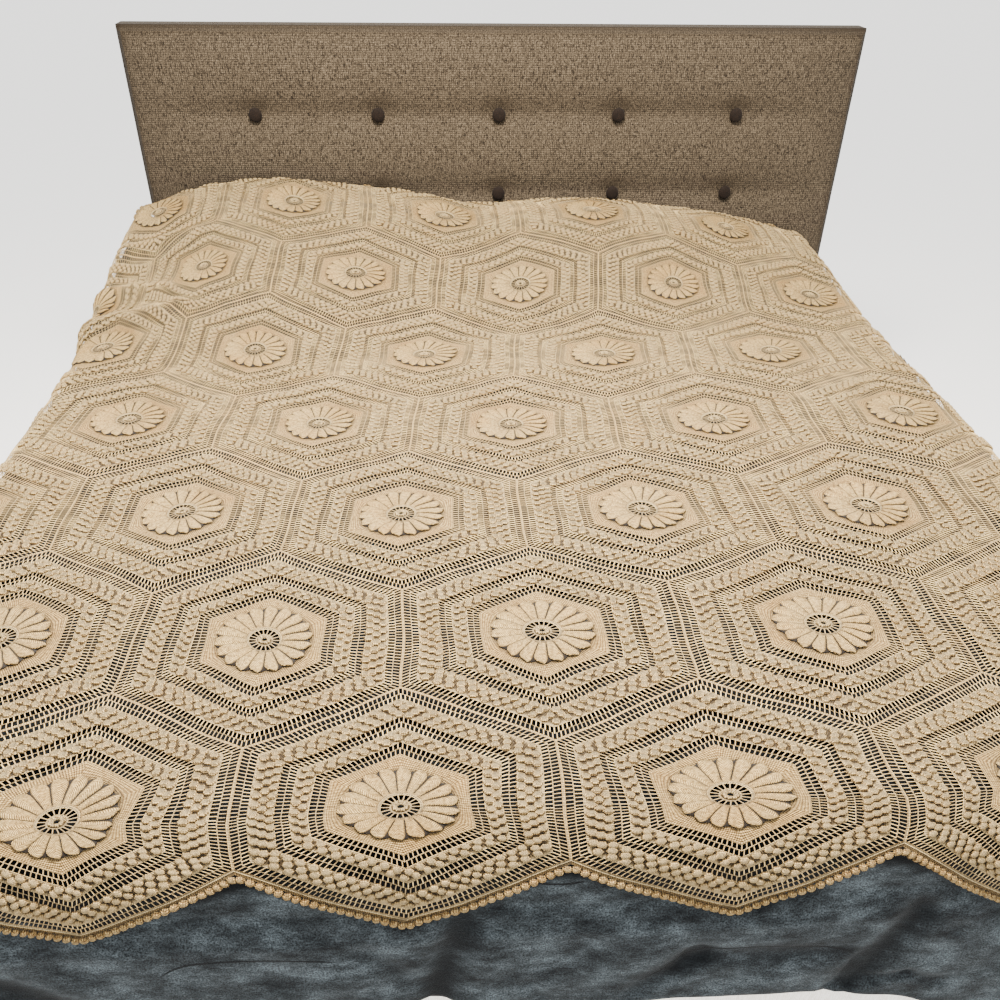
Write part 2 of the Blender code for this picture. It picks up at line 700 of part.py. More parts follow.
def build():
    remove_all()
    cotton = finish("ecru_cotton", (0.64, 0.50, 0.33), 0.9)
    fleece = finish("slate_fleece", (0.10, 0.13, 0.16), 0.95)
    ticking = finish("mattress_ticking", (0.78, 0.76, 0.71), 0.85)
    tweed = finish("taupe_tweed", (0.26, 0.21, 0.16), 0.9)
    cover = finish("button_cloth", (0.10, 0.065, 0.045), 0.8)
    wood = finish("brown_wood", (0.16, 0.08, 0.045), 0.5)
    things = [build_afghan(cotton), build_blanket(fleece)]
    half = BED_WIDTH / 2
    mattress_low = MATTRESS_TOP - MATTRESS_DEPTH
    things.append(rounded_box("mattress", (-half, MATTRESS_FOOT, mattress_low + TOUCH),
                              (half, MATTRESS_HEAD, MATTRESS_TOP), 0.052, 3, ticking))
    things.append(rounded_box("foundation", (-half, MATTRESS_FOOT, LEG_HEIGHT),
                              (half, MATTRESS_HEAD, mattress_low), 0.012, 2, ticking))
    things.append(build_pillow("pillow_left", (-0.735, 1.29, 0), (-0.075, 1.785, 0), ticking))
    things.append(build_pillow("pillow_right", (0.045, 1.40, 0), (0.715, 1.785, 0), ticking))
    things.append(build_headboard(tweed))
    for r, z in enumerate(BUTTON_ROWS):
        for c, x in enumerate(button_places()):
            things.append(build_button(f"button_{r + 1}_{c + 1}", x, z, cover))
    leg_x = half - 0.075
    for r, y in enumerate((0.02, 0.90, 1.76)):
        for side, x in (("left", -leg_x), ("right", leg_x)):
            things.append(build_leg(f"leg_{side}_{r + 1}", x, y, wood))
    for side, x in (("left", -0.55), ("right", 0.55)):
        back = HEADBOARD_FACE + HEADBOARD_DEPTH + TOUCH
        centre = HEADBOARD_X + x
        low, high = (centre - 0.035, back, 0), (centre + 0.035, back + 0.028, 0.86)
        things.append(rounded_box(f"strut_{side}", low, high, 0.003, 1, wood))
    centre_on_floor(things)


build()
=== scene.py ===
"""The looks of a crochet afghan spread over a made bed with a buttoned headboard.

Metres, +Z up. The afghan is worked flat, as its maker does it: one hexagon motif with its petals, mesh,
popcorns and seam is made once, copied to every place in a row, and laid over the bed's form.
"""

import math

import bpy
import numpy as np
from mathutils import Matrix, Vector


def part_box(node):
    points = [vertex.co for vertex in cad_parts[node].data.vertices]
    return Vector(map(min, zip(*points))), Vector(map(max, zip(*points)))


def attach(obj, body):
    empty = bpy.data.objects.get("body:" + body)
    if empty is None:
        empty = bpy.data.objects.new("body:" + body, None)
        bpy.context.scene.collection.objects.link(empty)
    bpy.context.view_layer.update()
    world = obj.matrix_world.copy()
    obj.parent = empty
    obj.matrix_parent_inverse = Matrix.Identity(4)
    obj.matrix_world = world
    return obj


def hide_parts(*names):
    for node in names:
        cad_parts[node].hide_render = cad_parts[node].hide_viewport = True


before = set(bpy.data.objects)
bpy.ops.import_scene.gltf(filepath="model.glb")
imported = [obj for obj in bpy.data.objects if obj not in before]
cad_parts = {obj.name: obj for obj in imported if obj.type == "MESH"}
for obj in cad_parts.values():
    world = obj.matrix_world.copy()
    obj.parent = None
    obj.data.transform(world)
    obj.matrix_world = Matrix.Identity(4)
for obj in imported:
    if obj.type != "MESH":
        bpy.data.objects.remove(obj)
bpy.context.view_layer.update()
bpy.ops.object.select_all(action="DESELECT")

# Sizes of the afghan
MOTIF = 0.330
APOTHEM = MOTIF / 2
ROW_STEP = MOTIF * math.sqrt(3) / 2
WIDE_ROW = (-6, -4, -2, 0, 2, 4, 6)
NARROW_ROW = (-5, -3, -1, 1, 3, 5)
ROW_COUNT = 7
SKEW = math.radians(-1.4)  # how far the afghan lies turned on the bed
GROUND = 0.0012  # the plain stitches' height above the afghan's underside
CROWN = 0.0006  # how far a thread's middle stands above its edges
STAND_OFF = 0.0008  # the afghan's mean height above what it lies on

# Rings of one motif, as parts of its apothem
EYE_RING = 0.020
PUFF_RING = 0.061
SPOKE_RING = 0.119
PETAL_RING = 0.368
PLAIN_HEXAGON = 0.437
MESH_BANDS = ((PLAIN_HEXAGON, 0.526), (0.640, 0.733), (0.892, 0.990))
POPCORN_BANDS = (((0.562, 0.606), 8), ((0.758, 0.806, 0.854), 11))  # rows, and popcorns along a side
PETALS = 18
SIDE_SEGMENTS = 8  # straight pieces along one side of a ring
MESH_PITCH = 0.0056  # from one post of the mesh to the next
BAR_WIDTH = 0.0013
CROSSBAR = 0.0012  # the chain between the two rows of holes
SPOKE_WIDTH = 0.0014
POPCORN_RADIUS = 0.0056
POPCORN_RISE = 0.0040
POPCORN_STRETCH = 1.06
BEAD_RADIUS = 0.0058
BEAD_PITCH = 0.0100

# The bed's form under the cloth: flat between its shoulders, then round its edges and down
CLOTH_TOP = 0.615
SHOULDER_X = 0.760
SHOULDER_FOOT = -0.001
SHOULDER_HEAD = 1.800
SIDE_ROUND = 0.048
FOOT_ROUND = 0.060
HEAD_ROUND = 0.022
# The part past the foot is drawn up along the bed and in across it
DRAWN_UP_FROM = 0.0
DRAWN_UP = 0.689
DRAWN_IN = 0.080
# The upright folds at the sides, and the cloth that stands out at a corner
SIDE_FOLD = 0.016
SIDE_FOLD_SPACING = 0.43
FOLD_DEPTH = 0.25
CORNER_FOLD = 0.5
# The pillows' rise: the place across, its height, and where along the bed it starts and is full
PILLOW_SECTIONS = (
    (-0.80, 0.098, 1.16, 1.85),
    (-0.64, 0.148, 1.11, 1.85),
    (-0.48, 0.165, 1.09, 1.85),
    (-0.34, 0.152, 1.11, 1.84),
    (-0.18, 0.132, 1.16, 1.82),
    (-0.02, 0.103, 1.23, 1.78),
    (0.14, 0.110, 1.24, 1.74),
    (0.28, 0.110, 1.24, 1.74),
    (0.48, 0.089, 1.25, 1.76),
    (0.66, 0.061, 1.27, 1.78),
    (0.80, 0.024, 1.28, 1.80),
)
STRAIGHT_RAMP = 0.75  # how straight the left pillow's slope is
# Where the afghan lies off its even lattice: the place in the row, the row, how far across and along
PULLS = (
    (-3, -0.6, -0.020, 0.000),
    (-1, -0.6, 0.000, 0.003),
    (1, -0.6, 0.019, 0.002),
    (-2, -0.4, -0.005, 0.025),
    (0, -0.4, -0.002, 0.024),
    (2, -0.4, 0.020, 0.035),
    (-3, 0, 0.013, -0.012),
    (-1, 0, 0.004, -0.013),
    (1, 0, -0.013, -0.014),
    (-4, 1, 0.010, 0.000),
    (2, 1, 0.018, 0.002),
    (-2, 1, -0.008, -0.010),
    (-1, 2, -0.018, -0.009),
    (-4, 3, 0.006, 0.017),
    (0, 3, -0.012, -0.010),
    (4, 3, 0.007, 0.026),
    (-5, 4, 0.040, 0.030),
    (-3, 4, 0.008, -0.006),
    (1, 4, 0.010, 0.000),
    (3, 4, 0.008, 0.010),
    (-6, 5, 0.140, -0.110),
    (-4, 5, 0.012, 0.017),
    (-2, 5, 0.012, 0.000),
    (0, 5, 0.024, 0.006),
    (2, 5, 0.026, 0.018),
    (4, 5, 0.000, 0.010),
    (-5, 6, 0.040, 0.005),
    (-3, 6, 0.024, -0.024),
    (-1, 6, 0.030, -0.015),
    (1, 6, 0.042, 0.004),
    (3, 6, 0.030, 0.000),
)
PULL_REACH = 0.15
# The loose gathers by the left head corner: two ends, half width and height
GATHERS = (
    (-0.84, 1.24, -0.62, 1.30, 0.026, 0.016),
    (-0.83, 1.40, -0.66, 1.37, 0.024, 0.013),
    (-0.82, 1.55, -0.62, 1.58, 0.030, 0.010),
)

# The blanket, and how far it stays inside the afghan on top and round the bed's edges
BLANKET = 0.004
BLANKET_GAP = 0.006
BLANKET_BEND_GAP = 0.016
BLANKET_SIDE_GAP = 0.001
BLANKET_BEND_FROM = 0.050  # it starts to draw in this far before an edge
BLANKET_BEND_LENGTH = 0.07  # and has drawn in over this length
BLANKET_FOOT_BEND = 0.035
BLANKET_SIDE_REACH = 1.04
BLANKET_CORNER_CUT = 0.42
BLANKET_HEAD = 1.740
MATTRESS_FOOT = -0.024

# The headboard's padding
TUFT_DEPTH = 0.014
TUFT_REACH = 0.040
CHANNEL_DEPTH = 0.0125  # the shallow valley along each row of buttons
CHANNEL_REACH = 0.038
CHANNEL_LENGTH = 0.22  # how far the valley runs on to each side of a button
ROLLED_DEPTH = 0.014
ROLLED_REACH = 0.016
CROWN_DEPTH = 0.010
CROWN_REACH = 0.10
PANEL_FRONT = 0.030  # all that lies further back than this is the panel's sides and back
# How much painted shade darkens its cloth at its rim, towards its ends, over a button, along a row and on
# its sides
RIM_SHADE = 0.8
RIM_REACH = 0.012
END_SHADE = 0.25
END_REACH = 0.12
BUTTON_SHADE = 0.50
BUTTON_REACH = 0.035
OVER_BUTTON = 0.020
ROW_SHADE = 0.16
SIDE_SHADE = 0.3
BUTTON_DOME = 0.0062
BUTTON_PINCH = 0.16

# Where the bed's foot and middle are in the frame
MATTRESS_LOW, MATTRESS_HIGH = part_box("mattress")
SHIFT = np.array([(MATTRESS_LOW[0] + MATTRESS_HIGH[0]) / 2, MATTRESS_LOW[1] - MATTRESS_FOOT, 0.0])

# Where the picture is taken from, in motifs from the middle of the first row
CAMERA_PLACE = (-0.3429, -1.9182, 2.1752)
CAMERA_PITCH = 0.68715
CAMERA_YAW = 0.07332
CAMERA_ROLL = 0.01509
CAMERA_FOCUS = 0.9597  # focal length in picture widths
CAMERA_SHIFT = 0.1551
SENSOR_WIDTH = 36.0
CLOTH_FACE = 0.0025  # the afghan's upper face above the bed's form


# Materials

WAVE_PERIOD = 0.314  # the spacing of a wave texture's bands, in metres, at a scale of 1


def linear(hex_colour):
    """An sRGB hex colour as the linear values that a shader takes."""
    parts = [int(hex_colour[i:i + 2], 16) / 255 for i in (0, 2, 4)]
    return tuple(c / 12.92 if c <= 0.04045 else ((c + 0.055) / 1.055) ** 2.4 for c in parts) + (1.0,)


def add_node(tree, kind, links=(), **settings):
    """Adds a node, sets its properties and sockets, and links it by (socket, from node, from output)."""
    node = tree.nodes.new(kind)
    for name, value in settings.items():
        if hasattr(node, name):
            setattr(node, name, value)
        else:
            node.inputs[name.replace("_", " ")].default_value = value
    for socket, source, output in links:
        tree.links.new(source.outputs[output], node.inputs[socket])
    return node


def new_material(name, roughness, sheen=0.0, sheen_roughness=0.5, ior=1.5):
    """A material with its node tree and shader, and the values that are the same all over it."""
    material = bpy.data.materials.new(name)
    material.use_nodes = True
    tree = material.node_tree
    shader = tree.nodes["Principled BSDF"]
    shader.inputs["Roughness"].default_value = roughness
    shader.inputs["Sheen Weight"].default_value = sheen
    shader.inputs["Sheen Roughness"].default_value = sheen_roughness
    shader.inputs["IOR"].default_value = ior
    return material, tree, shader


def ramp(tree, source, output, stops):
    """A colour ramp of (place, hex colour) stops."""
    node = add_node(tree, "ShaderNodeValToRGB", [(0, source, output)])
    elements = node.color_ramp.elements
    while len(elements) < len(stops):
        elements.new(0.5)
    for element, (place, colour) in zip(elements, stops):
        element.position = place
        element.color = linear(colour)
    return node


def mix(tree, factor, first, second, blend="MIX"):
    """Mixes two colours; each is a (node, output) pair or a colour, and factor also may be a number."""
    node = add_node(tree, "ShaderNodeMix", data_type="RGBA", blend_type=blend)
    for socket, value in ((0, factor), (6, first), (7, second)):
        if isinstance(value, tuple) and isinstance(value[0], bpy.types.Node):
            tree.links.new(value[0].outputs[value[1]], node.inputs[socket])
        else:
            node.inputs[socket].default_value = value
    return node


def bump_surface(tree, shader, height, strength, distance):
    """Raises a surface by a (node, output) pair."""
    bump = add_node(tree, "ShaderNodeBump", [("Height", *height)], Strength=strength, Distance=distance)
    tree.links.new(bump.outputs[0], shader.inputs["Normal"])


def crochet_cotton():
    """Ecru cotton crochet thread, hooked by hand: matte and ropy, with painted shade in its hollows and
    painted highlights on its crowns.
    """
    material, tree, shader = new_material("ecru_crochet_cotton", 0.9, sheen=0.03, ior=1.25)
    flat = add_node(tree, "ShaderNodeUVMap", uv_map="flat")
    stitch = add_node(tree, "ShaderNodeUVMap", uv_map="stitch")
    # The yarn's tint wanders over about 110 mm, and its stitches catch the light in specks of 4 mm.
    tint = add_node(tree, "ShaderNodeTexNoise", [("Vector", flat, 0)], Scale=9.0, Detail=3.0)
    ground = ramp(tree, tint, 0, ((0.35, "DCB670"), (0.50, "E4C482"), (0.66, "E6C07A")))
    speck = add_node(tree, "ShaderNodeTexNoise", [("Vector", flat, 0)], Scale=260.0, Detail=2.0)
    speckle = ramp(tree, speck, 0, ((0.34, "7A6642"), (0.58, "FFFFFF")))
    colour = mix(tree, 0.6, (ground, 0), (speckle, 0), "MULTIPLY")
    # A treble post is 2.6 mm wide and a round of the plain hexagon 2.1 mm, in plies of about 1 mm.
    posts = add_node(tree, "ShaderNodeTexWave", [("Vector", stitch, 0)], bands_direction="X", Scale=121.0,
                     Distortion=1.2, Detail=1.0)
    rounds = add_node(tree, "ShaderNodeTexWave", [("Vector", stitch, 0)], bands_direction="Y", Scale=150.0,
                      Distortion=0.8, Detail=1.0)
    # Painted shade in the gaps between posts and between rounds, where the waves are low.
    for wave, dark in ((posts, "6E522A"), (rounds, "846838")):
        painted_gap_shade = ramp(tree, wave, 1, ((0.08, dark), (0.55, "FFFFFF")))
        colour = mix(tree, 0.75, (colour, 2), (painted_gap_shade, 0), "MULTIPLY")
    # Painted shade: where the shade attribute is low, the thread is darkened in its hollows, gaps and
    # slits, at the feet of popcorns and beads, and under the petals.
    shade = add_node(tree, "ShaderNodeAttribute", attribute_name="shade")
    painted_hollow_shade = mix(tree, (shade, 2), linear("1E1409"), (colour, 2))
    # Painted highlight: where the pale attribute is high, the thread is lightened on its crowns and on the
    # tops of popcorns.
    pale = add_node(tree, "ShaderNodeAttribute", attribute_name="pale")
    colour = mix(tree, (pale, 2), (painted_hollow_shade, 2), linear("F6DFAC"))
    tree.links.new(colour.outputs[2], shader.inputs["Base Color"])
    plies = add_node(tree, "ShaderNodeTexNoise", [("Vector", flat, 0)], Scale=900.0, Detail=2.0)
    knit = add_node(tree, "ShaderNodeMath", [(0, posts, 1), (1, rounds, 1)], operation="ADD")
    height = add_node(tree, "ShaderNodeMath", [(0, knit, 0), (1, plies, 0)], operation="ADD")
    bump_surface(tree, shader, (height, 0), 1.0, 0.0020)
    return material


# Sharp creases of the blanket at the foot, drawn as thin lines of painted shade, in its own coordinates:
# curves of (across, along)
CREASE_LINES = (
    ((-0.430, -0.222), (-0.397, -0.201), (-0.366, -0.195), (-0.326, -0.194), (-0.237, -0.204)),
    (
        (0.088, -0.279),
        (0.114, -0.261),
        (0.139, -0.236),
        (0.170, -0.224),
        (0.222, -0.221),
        (0.315, -0.236),
        (0.341, -0.257),
    ),
    ((-0.041, -0.099), (-0.016, -0.104), (0.022, -0.097)),
)
CREASE_SPAN = 0.1  # more than any one of them reaches along
CREASE_WIDTH = 0.0022


def painted_crease_shade(tree, flat, places):
    """A thin line of painted shade along a crease: how near the cloth's own coordinates are to a curve
    through its places.
    """
    parts = add_node(tree, "ShaderNodeSeparateXYZ", [("Vector", flat, 0)])
    start, end = places[0][0], places[-1][0]
    level = min(y for _, y in places)
    across = add_node(tree, "ShaderNodeMapRange", [("Value", parts, 0)], From_Min=start, From_Max=end)
    curve = add_node(tree, "ShaderNodeFloatCurve", [("Value", across, 0)])
    points = curve.mapping.curves[0].points
    for _ in places[2:]:
        points.new(0.5, 0.5)
    for point, (x, y) in zip(points, places):
        point.location = ((x - start) / (end - start), (y - level) / CREASE_SPAN)
    curve.mapping.update()
    top = level + CREASE_SPAN
    scaled = add_node(tree, "ShaderNodeMapRange", [("Value", curve, 0)], To_Min=level, To_Max=top)
    off = add_node(tree, "ShaderNodeMath", [(0, scaled, 0), (1, parts, 1)], operation="SUBTRACT")
    away = add_node(tree, "ShaderNodeMath", [(0, off, 0)], operation="ABSOLUTE")
    near = add_node(tree, "ShaderNodeMapRange", [("Value", away, 0)], From_Min=CREASE_WIDTH,
                    From_Max=CREASE_WIDTH / 3)
    centred = add_node(tree, "ShaderNodeMapRange", [("Value", across, 0)], To_Min=-1.0)
    side = add_node(tree, "ShaderNodeMath", [(0, centred, 0)], operation="ABSOLUTE")
    ends = add_node(tree, "ShaderNodeMapRange", [("Value", side, 0)], From_Min=1.0, From_Max=0.85)
    return add_node(tree, "ShaderNodeMath", [(0, near, 0), (1, ends, 0)], operation="MULTIPLY")


def plush_fleece():
    """Polyester plush fleece, knitted and brushed: soft, slate blue, and mottled where its pile turns."""
    material, tree, shader = new_material("slate_plush_fleece", 0.95, sheen=0.04, sheen_roughness=0.45,
                                          ior=1.12)
    flat = add_node(tree, "ShaderNodeUVMap", uv_map="flat")
    # The pile lies in strokes of about 55 by 33 mm, and its tufts are 2 mm wide.
    lying = add_node(tree, "ShaderNodeMapping", [("Vector", flat, 0)], Scale=(18.0, 30.0, 1.0))
    strokes = add_node(tree, "ShaderNodeTexNoise", [("Vector", lying, 0)], Scale=1.0, Detail=8.0,
                       Roughness=0.74)
    colour = ramp(tree, strokes, 0, ((0.36, "13171A"), (0.50, "31373B"), (0.64, "515A60")))
    pile = add_node(tree, "ShaderNodeTexNoise", [("Vector", flat, 0)], Scale=480.0, Detail=3.0,
                    Roughness=0.8)
    fuzz = ramp(tree, pile, 0, ((0.38, "262626"), (0.60, "FFFFFF")))
    blended = mix(tree, 0.9, (colour, 0), (fuzz, 0), "MULTIPLY")
    for places in CREASE_LINES:
        line = painted_crease_shade(tree, flat, places)
        blended = mix(tree, (line, 0), (blended, 2), linear("06080A"))
    # Painted shade: the pile is darkened under the afghan and in its folds and wrinkles.
    painted_pile_shade = add_node(tree, "ShaderNodeAttribute", attribute_name="shade")
    colour = mix(tree, (painted_pile_shade, 2), linear("07090B"), (blended, 2))
    tree.links.new(colour.outputs[2], shader.inputs["Base Color"])
    bump_surface(tree, shader, (pile, 0), 0.7, 0.0020)
    return material


def woven_cloth(name, light, dark, thread, roughness, slub=0.5, distance=0.0005):
    """A plain-woven cloth on Object coordinates: crossing threads with slubs along both of them."""
    material, tree, shader = new_material(name, roughness, sheen=0.02, ior=1.2)
    place = add_node(tree, "ShaderNodeTexCoord")
    waves = []
    # A thread goes over one and under the next, so a band of light and dark is two threads wide.
    for direction in ("X", "Z"):
        wave = add_node(tree, "ShaderNodeTexWave", [("Vector", place, 3)], bands_direction=direction,
                        Scale=WAVE_PERIOD / thread / 2, Distortion=2.0, Detail=2.0, Detail_Scale=3.0)
        waves.append(wave)
    weave = add_node(tree, "ShaderNodeMath", [(0, waves[0], 1), (1, waves[1], 1)], operation="MULTIPLY")
    # The slubs are about 1.4 mm thick, 3 mm long across the cloth and 9 mm long up it.
    stretched = add_node(tree, "ShaderNodeMapping", [("Vector", place, 3)], Scale=(330.0, 330.0, 700.0))
    across = add_node(tree, "ShaderNodeTexNoise", [("Vector", stretched, 0)], Scale=1.0, Detail=3.0)
    upright = add_node(tree, "ShaderNodeMapping", [("Vector", place, 3)], Scale=(700.0, 700.0, 110.0))
    along_warp = add_node(tree, "ShaderNodeTexNoise", [("Vector", upright, 0)], Scale=1.0, Detail=3.0)
    slubs = add_node(tree, "ShaderNodeMath", [(0, across, 0), (1, along_warp, 0)], operation="MULTIPLY")
    tone = ramp(tree, slubs, 0, ((0.16, dark), (0.34, light)))
    threads = ramp(tree, weave, 0, ((0.0, "9A9A9A"), (0.6, "FFFFFF")))
    colour = mix(tree, slub, (tone, 0), (threads, 0), "MULTIPLY")
    # Painted shade, where a piece states it in its edge attribute.
    painted_edge_shade = add_node(tree, "ShaderNodeAttribute", attribute_name="edge")
    colour = mix(tree, (painted_edge_shade, 2), (colour, 2), linear("1C150C"))
    tree.links.new(colour.outputs[2], shader.inputs["Base Color"])
    height = add_node(tree, "ShaderNodeMath", [(0, weave, 0), (1, slubs, 0)], operation="ADD")
    bump_surface(tree, shader, (height, 0), 0.5, distance)
    return material


def cotton_ticking():
    """Cotton ticking of mattress and pillows, woven close: matte off-white with hardly a thread to be seen.

    Its threads are drawn 1.2 mm wide, coarser than real ones, so that they show at all.
    """
    return woven_cloth("woven_cotton_ticking", "F1EFEA", "DAD6CE", thread=0.0012, roughness=0.85, slub=0.2)


def linen_tweed():
    """Upholstery tweed of thick linen thread, woven plain: taupe with dark slubs, and matte.

    Its threads are 2.2 mm wide.
    """
    return woven_cloth("taupe_linen_tweed", "5E5344", "19130D", thread=0.0022, roughness=0.9, slub=0.7,
                       distance=0.0016)


def button_cloth():
    """Close dark brown cotton, drawn tight over the buttons: smoother than the tweed round them."""
    return woven_cloth("brown_button_cloth", "1A110B", "0D0805", thread=0.0012, roughness=0.8, slub=0.4)


def stained_beech():
    """Beech turned dark by a walnut stain, with a worn satin varnish and its grain along its length."""
    material, tree, shader = new_material("walnut_stained_beech", 0.45)
    place = add_node(tree, "ShaderNodeTexCoord")
    # The grain is drawn about 5 mm wide and 80 mm long, coarser than beech's own, so that it shows.
    stretched = add_node(tree, "ShaderNodeMapping", [("Vector", place, 3)], Scale=(90.0, 90.0, 6.0))
    grain = add_node(tree, "ShaderNodeTexNoise", [("Vector", stretched, 0)], Scale=2.0, Detail=5.0,
                     Distortion=0.6)
    colour = ramp(tree, grain, 0, ((0.30, "4A2F20"), (0.50, "6B4630"), (0.70, "84593D")))
    tree.links.new(colour.outputs[0], shader.inputs["Base Color"])
    bump_surface(tree, shader, (grain, 0), 0.2, 0.0004)
    return material


def pale_floor():
    """Matte pale floor paint."""
    material, _, shader = new_material("pale_floor", 0.9)
    shader.inputs["Base Color"].default_value = linear("F4F3F1")
    return material


# The form that the cloth lies on

def along(sections, x, column):
    """One column of a table of sections, read at x on a smooth curve through its rows."""
    places = np.array([row[0] for row in sections])
    values = np.array([row[column] for row in sections])
    slopes = np.gradient(values, places)
    x = np.clip(x, places[0], places[-1])
    i = np.clip(np.searchsorted(places, x) - 1, 0, len(places) - 2)
    step = places[i + 1] - places[i]
    t = (x - places[i]) / step
    start = (2 * t**3 - 3 * t**2 + 1) * values[i] + (t**3 - 2 * t**2 + t) * step * slopes[i]
    end = (3 * t**2 - 2 * t**3) * values[i + 1] + (t**3 - t**2) * step * slopes[i + 1]
    return start + end


def pillow_rise(x, y):
    """How far the pillows lift the cloth at a place on the bed."""
    crest = along(PILLOW_SECTIONS, x, 1)
    start = along(PILLOW_SECTIONS, x, 2)
    full = along(PILLOW_SECTIONS, x, 3)
    s = np.clip((y - start) / (full - start), 0, 1)
    straight = np.clip(-x / 0.5, 0, 1) * STRAIGHT_RAMP
    return crest * (straight * s + (1 - straight) * s * s * (3 - 2 * s))


def gathered(x, y):
    """The height of the loose gathers at a place on the bed."""
    height = np.zeros_like(x)
    for x0, y0, x1, y1, half_width, rise in GATHERS:
        length = math.hypot(x1 - x0, y1 - y0)
        ux, uy = (x1 - x0) / length, (y1 - y0) / length
        t = np.clip((x - x0) * ux + (y - y0) * uy, 0, length)
        off = np.hypot(x - x0 - t * ux, y - y0 - t * uy)
        height = height + rise * np.exp(-((off / half_width) ** 2))
    return height


def pulled(u, v):
    """Where a point of the flat afghan lies on the bed's developed surface."""
    x = u * math.cos(SKEW) - v * math.sin(SKEW)
    y = u * math.sin(SKEW) + v * math.cos(SKEW)
    for place, row, across, along_bed in PULLS:
        off = (u - place * APOTHEM) ** 2 + (v - row * ROW_STEP) ** 2
        weight = np.exp(-off / (2 * PULL_REACH**2))
        x = x + across * weight
        y = y + along_bed * weight
    past = np.clip(DRAWN_UP_FROM - y, 0, None)
    x = x * (1 - DRAWN_IN * np.clip(past / 0.1, 0, 1))
    return x, np.where(past > 0, DRAWN_UP_FROM - past * DRAWN_UP, y)


def hang(p, q, gathers=0.0):
    """Lays a point of the developed surface on the bed: flat on top, round its edges, and down."""
    inner_x = np.clip(p, -SHOULDER_X, SHOULDER_X)
    inner_y = np.clip(q, SHOULDER_FOOT, SHOULDER_HEAD)
    over_x, over_y = p - inner_x, q - inner_y
    over = np.hypot(over_x, over_y)
    safe = np.maximum(over, 1e-9)
    nx, ny = over_x / safe, over_y / safe
    end_round = np.where(over_y < 0, FOOT_ROUND, HEAD_ROUND)
    turn = np.where(over > 0, SIDE_ROUND * nx**2 + end_round * ny**2, SIDE_ROUND)
    bend = np.minimum(over, turn * math.pi / 2)
    rest = over - bend
    corner = CORNER_FOLD * rest * (2 * nx * ny) ** 2 * (over_y < 0)
    fold = 0.5 + 0.5 * np.cos(2 * math.pi * (inner_y / SIDE_FOLD_SPACING + 0.3 * nx))
    fold = SIDE_FOLD * fold * nx**2 * np.clip(rest / FOLD_DEPTH, 0, 1)
    out = turn * np.sin(bend / turn) + corner + fold
    drop = turn * (1 - np.cos(bend / turn)) + np.sqrt(rest**2 - corner**2)
    z = CLOTH_TOP + pillow_rise(inner_x, inner_y) + gathers * gathered(inner_x, inner_y) - drop
    return np.stack([inner_x + nx * out, inner_y + ny * out, z], axis=-1)


def lifted(surface, a, b, lift):
    """A surface's points, moved along its outward normal."""
    step = 0.002
    here = surface(a, b)
    across = surface(a + step, b) - surface(a - step, b)
    up = surface(a, b + step) - surface(a, b - step)
    normal = np.cross(across, up)
    normal /= np.maximum(np.linalg.norm(normal, axis=-1, keepdims=True), 1e-12)
    return here + normal * np.asarray(lift)[..., None]


def drape(u, v):
    """Where a point of the flat afghan lies on the bed."""
    return hang(*pulled(u, v), gathers=1.0)


def uneven(u, v):
    """The small wander of hand-worked rounds, and how far the cloth stands off the blanket there."""
    wander_u = 0.0016 * np.sin(19 * v + 5 * np.sin(7 * u)) + 0.0010 * np.sin(47 * v + 31 * u)
    wander_v = 0.0018 * np.sin(17 * u + 4 * np.sin(9 * v)) + 0.0010 * np.sin(43 * u - 29 * v)
    lift = 0.0010 * np.sin(23 * u + 3 * np.sin(13 * v)) * np.sin(21 * v) + 0.0006 * np.sin(71 * u + 53 * v)
    return u + wander_u, v + wander_v, lift + STAND_OFF


# The afghan's motif, worked flat

class Work:
    """Flat crochet work: points with a height, stitch coordinates, painted shade and painted highlight, and
    the faces between.
    """

    def __init__(self):
        self.points, self.faces = [], []

    def point(self, u, v, lift, stitch=(0.0, 0.0), shade=1.0, pale=0.0):
        """Adds a point and gives its number."""
        self.points.append((u, v, lift, stitch[0], stitch[1], shade, pale))
        return len(self.points) - 1

    def strip(self, rows, closed=False):
        """Quads between rows of points of one length."""
        for lower, upper in zip(rows, rows[1:]):
            for i in range(len(lower) - (0 if closed else 1)):
                j = (i + 1) % len(lower)
                self.faces.append((lower[i], lower[j], upper[j], upper[i]))

    def cap(self, ring, middle):
        """A fan of triangles from a ring to the point in its middle."""
        for i in range(len(ring)):
            self.faces.append((ring[i], ring[(i + 1) % len(ring)], middle))


def side_axes(side):
    """The outward direction of one side of the hexagon, and the direction along it."""
    angle = math.radians(60 * side)
    return Vector((math.cos(angle), math.sin(angle))), Vector((-math.sin(angle), math.cos(angle)))


def side_length(ring):
    """The length of a hexagon ring's side."""
    return 2 * ring * APOTHEM / math.sqrt(3)


def on_side(ring, side, t):
    """A point at t, 0 to 1, along one side of the hexagon at a ring, and its stitch coordinates."""
    out, way = side_axes(side)
    s = (t - 0.5) * side_length(ring)
    return out * (ring * APOTHEM) + way * s, (s, ring * APOTHEM)


def hexagon_ring(work, ring, lift, shade=1.0, pale=0.0, round_part=0.0):
    """Points along each side of a hexagon, or part of the way to the circle of the same apothem."""
    sides = []
    for side in range(6):
        ids = []
        for k in range(SIDE_SEGMENTS + 1):
            place, stitch = on_side(ring, side, k / SIDE_SEGMENTS)
            place = place * (1 - round_part) + place.normalized() * (ring * APOTHEM) * round_part
            ids.append(work.point(place.x, place.y, lift, stitch, shade, pale))
        sides.append(ids)
    return sides


def hexagon_band(work, rings):
    """The faces between hexagon rings, side by side, with a mitre at each corner."""
    for side in range(6):
        work.strip([ring[side] for ring in rings])


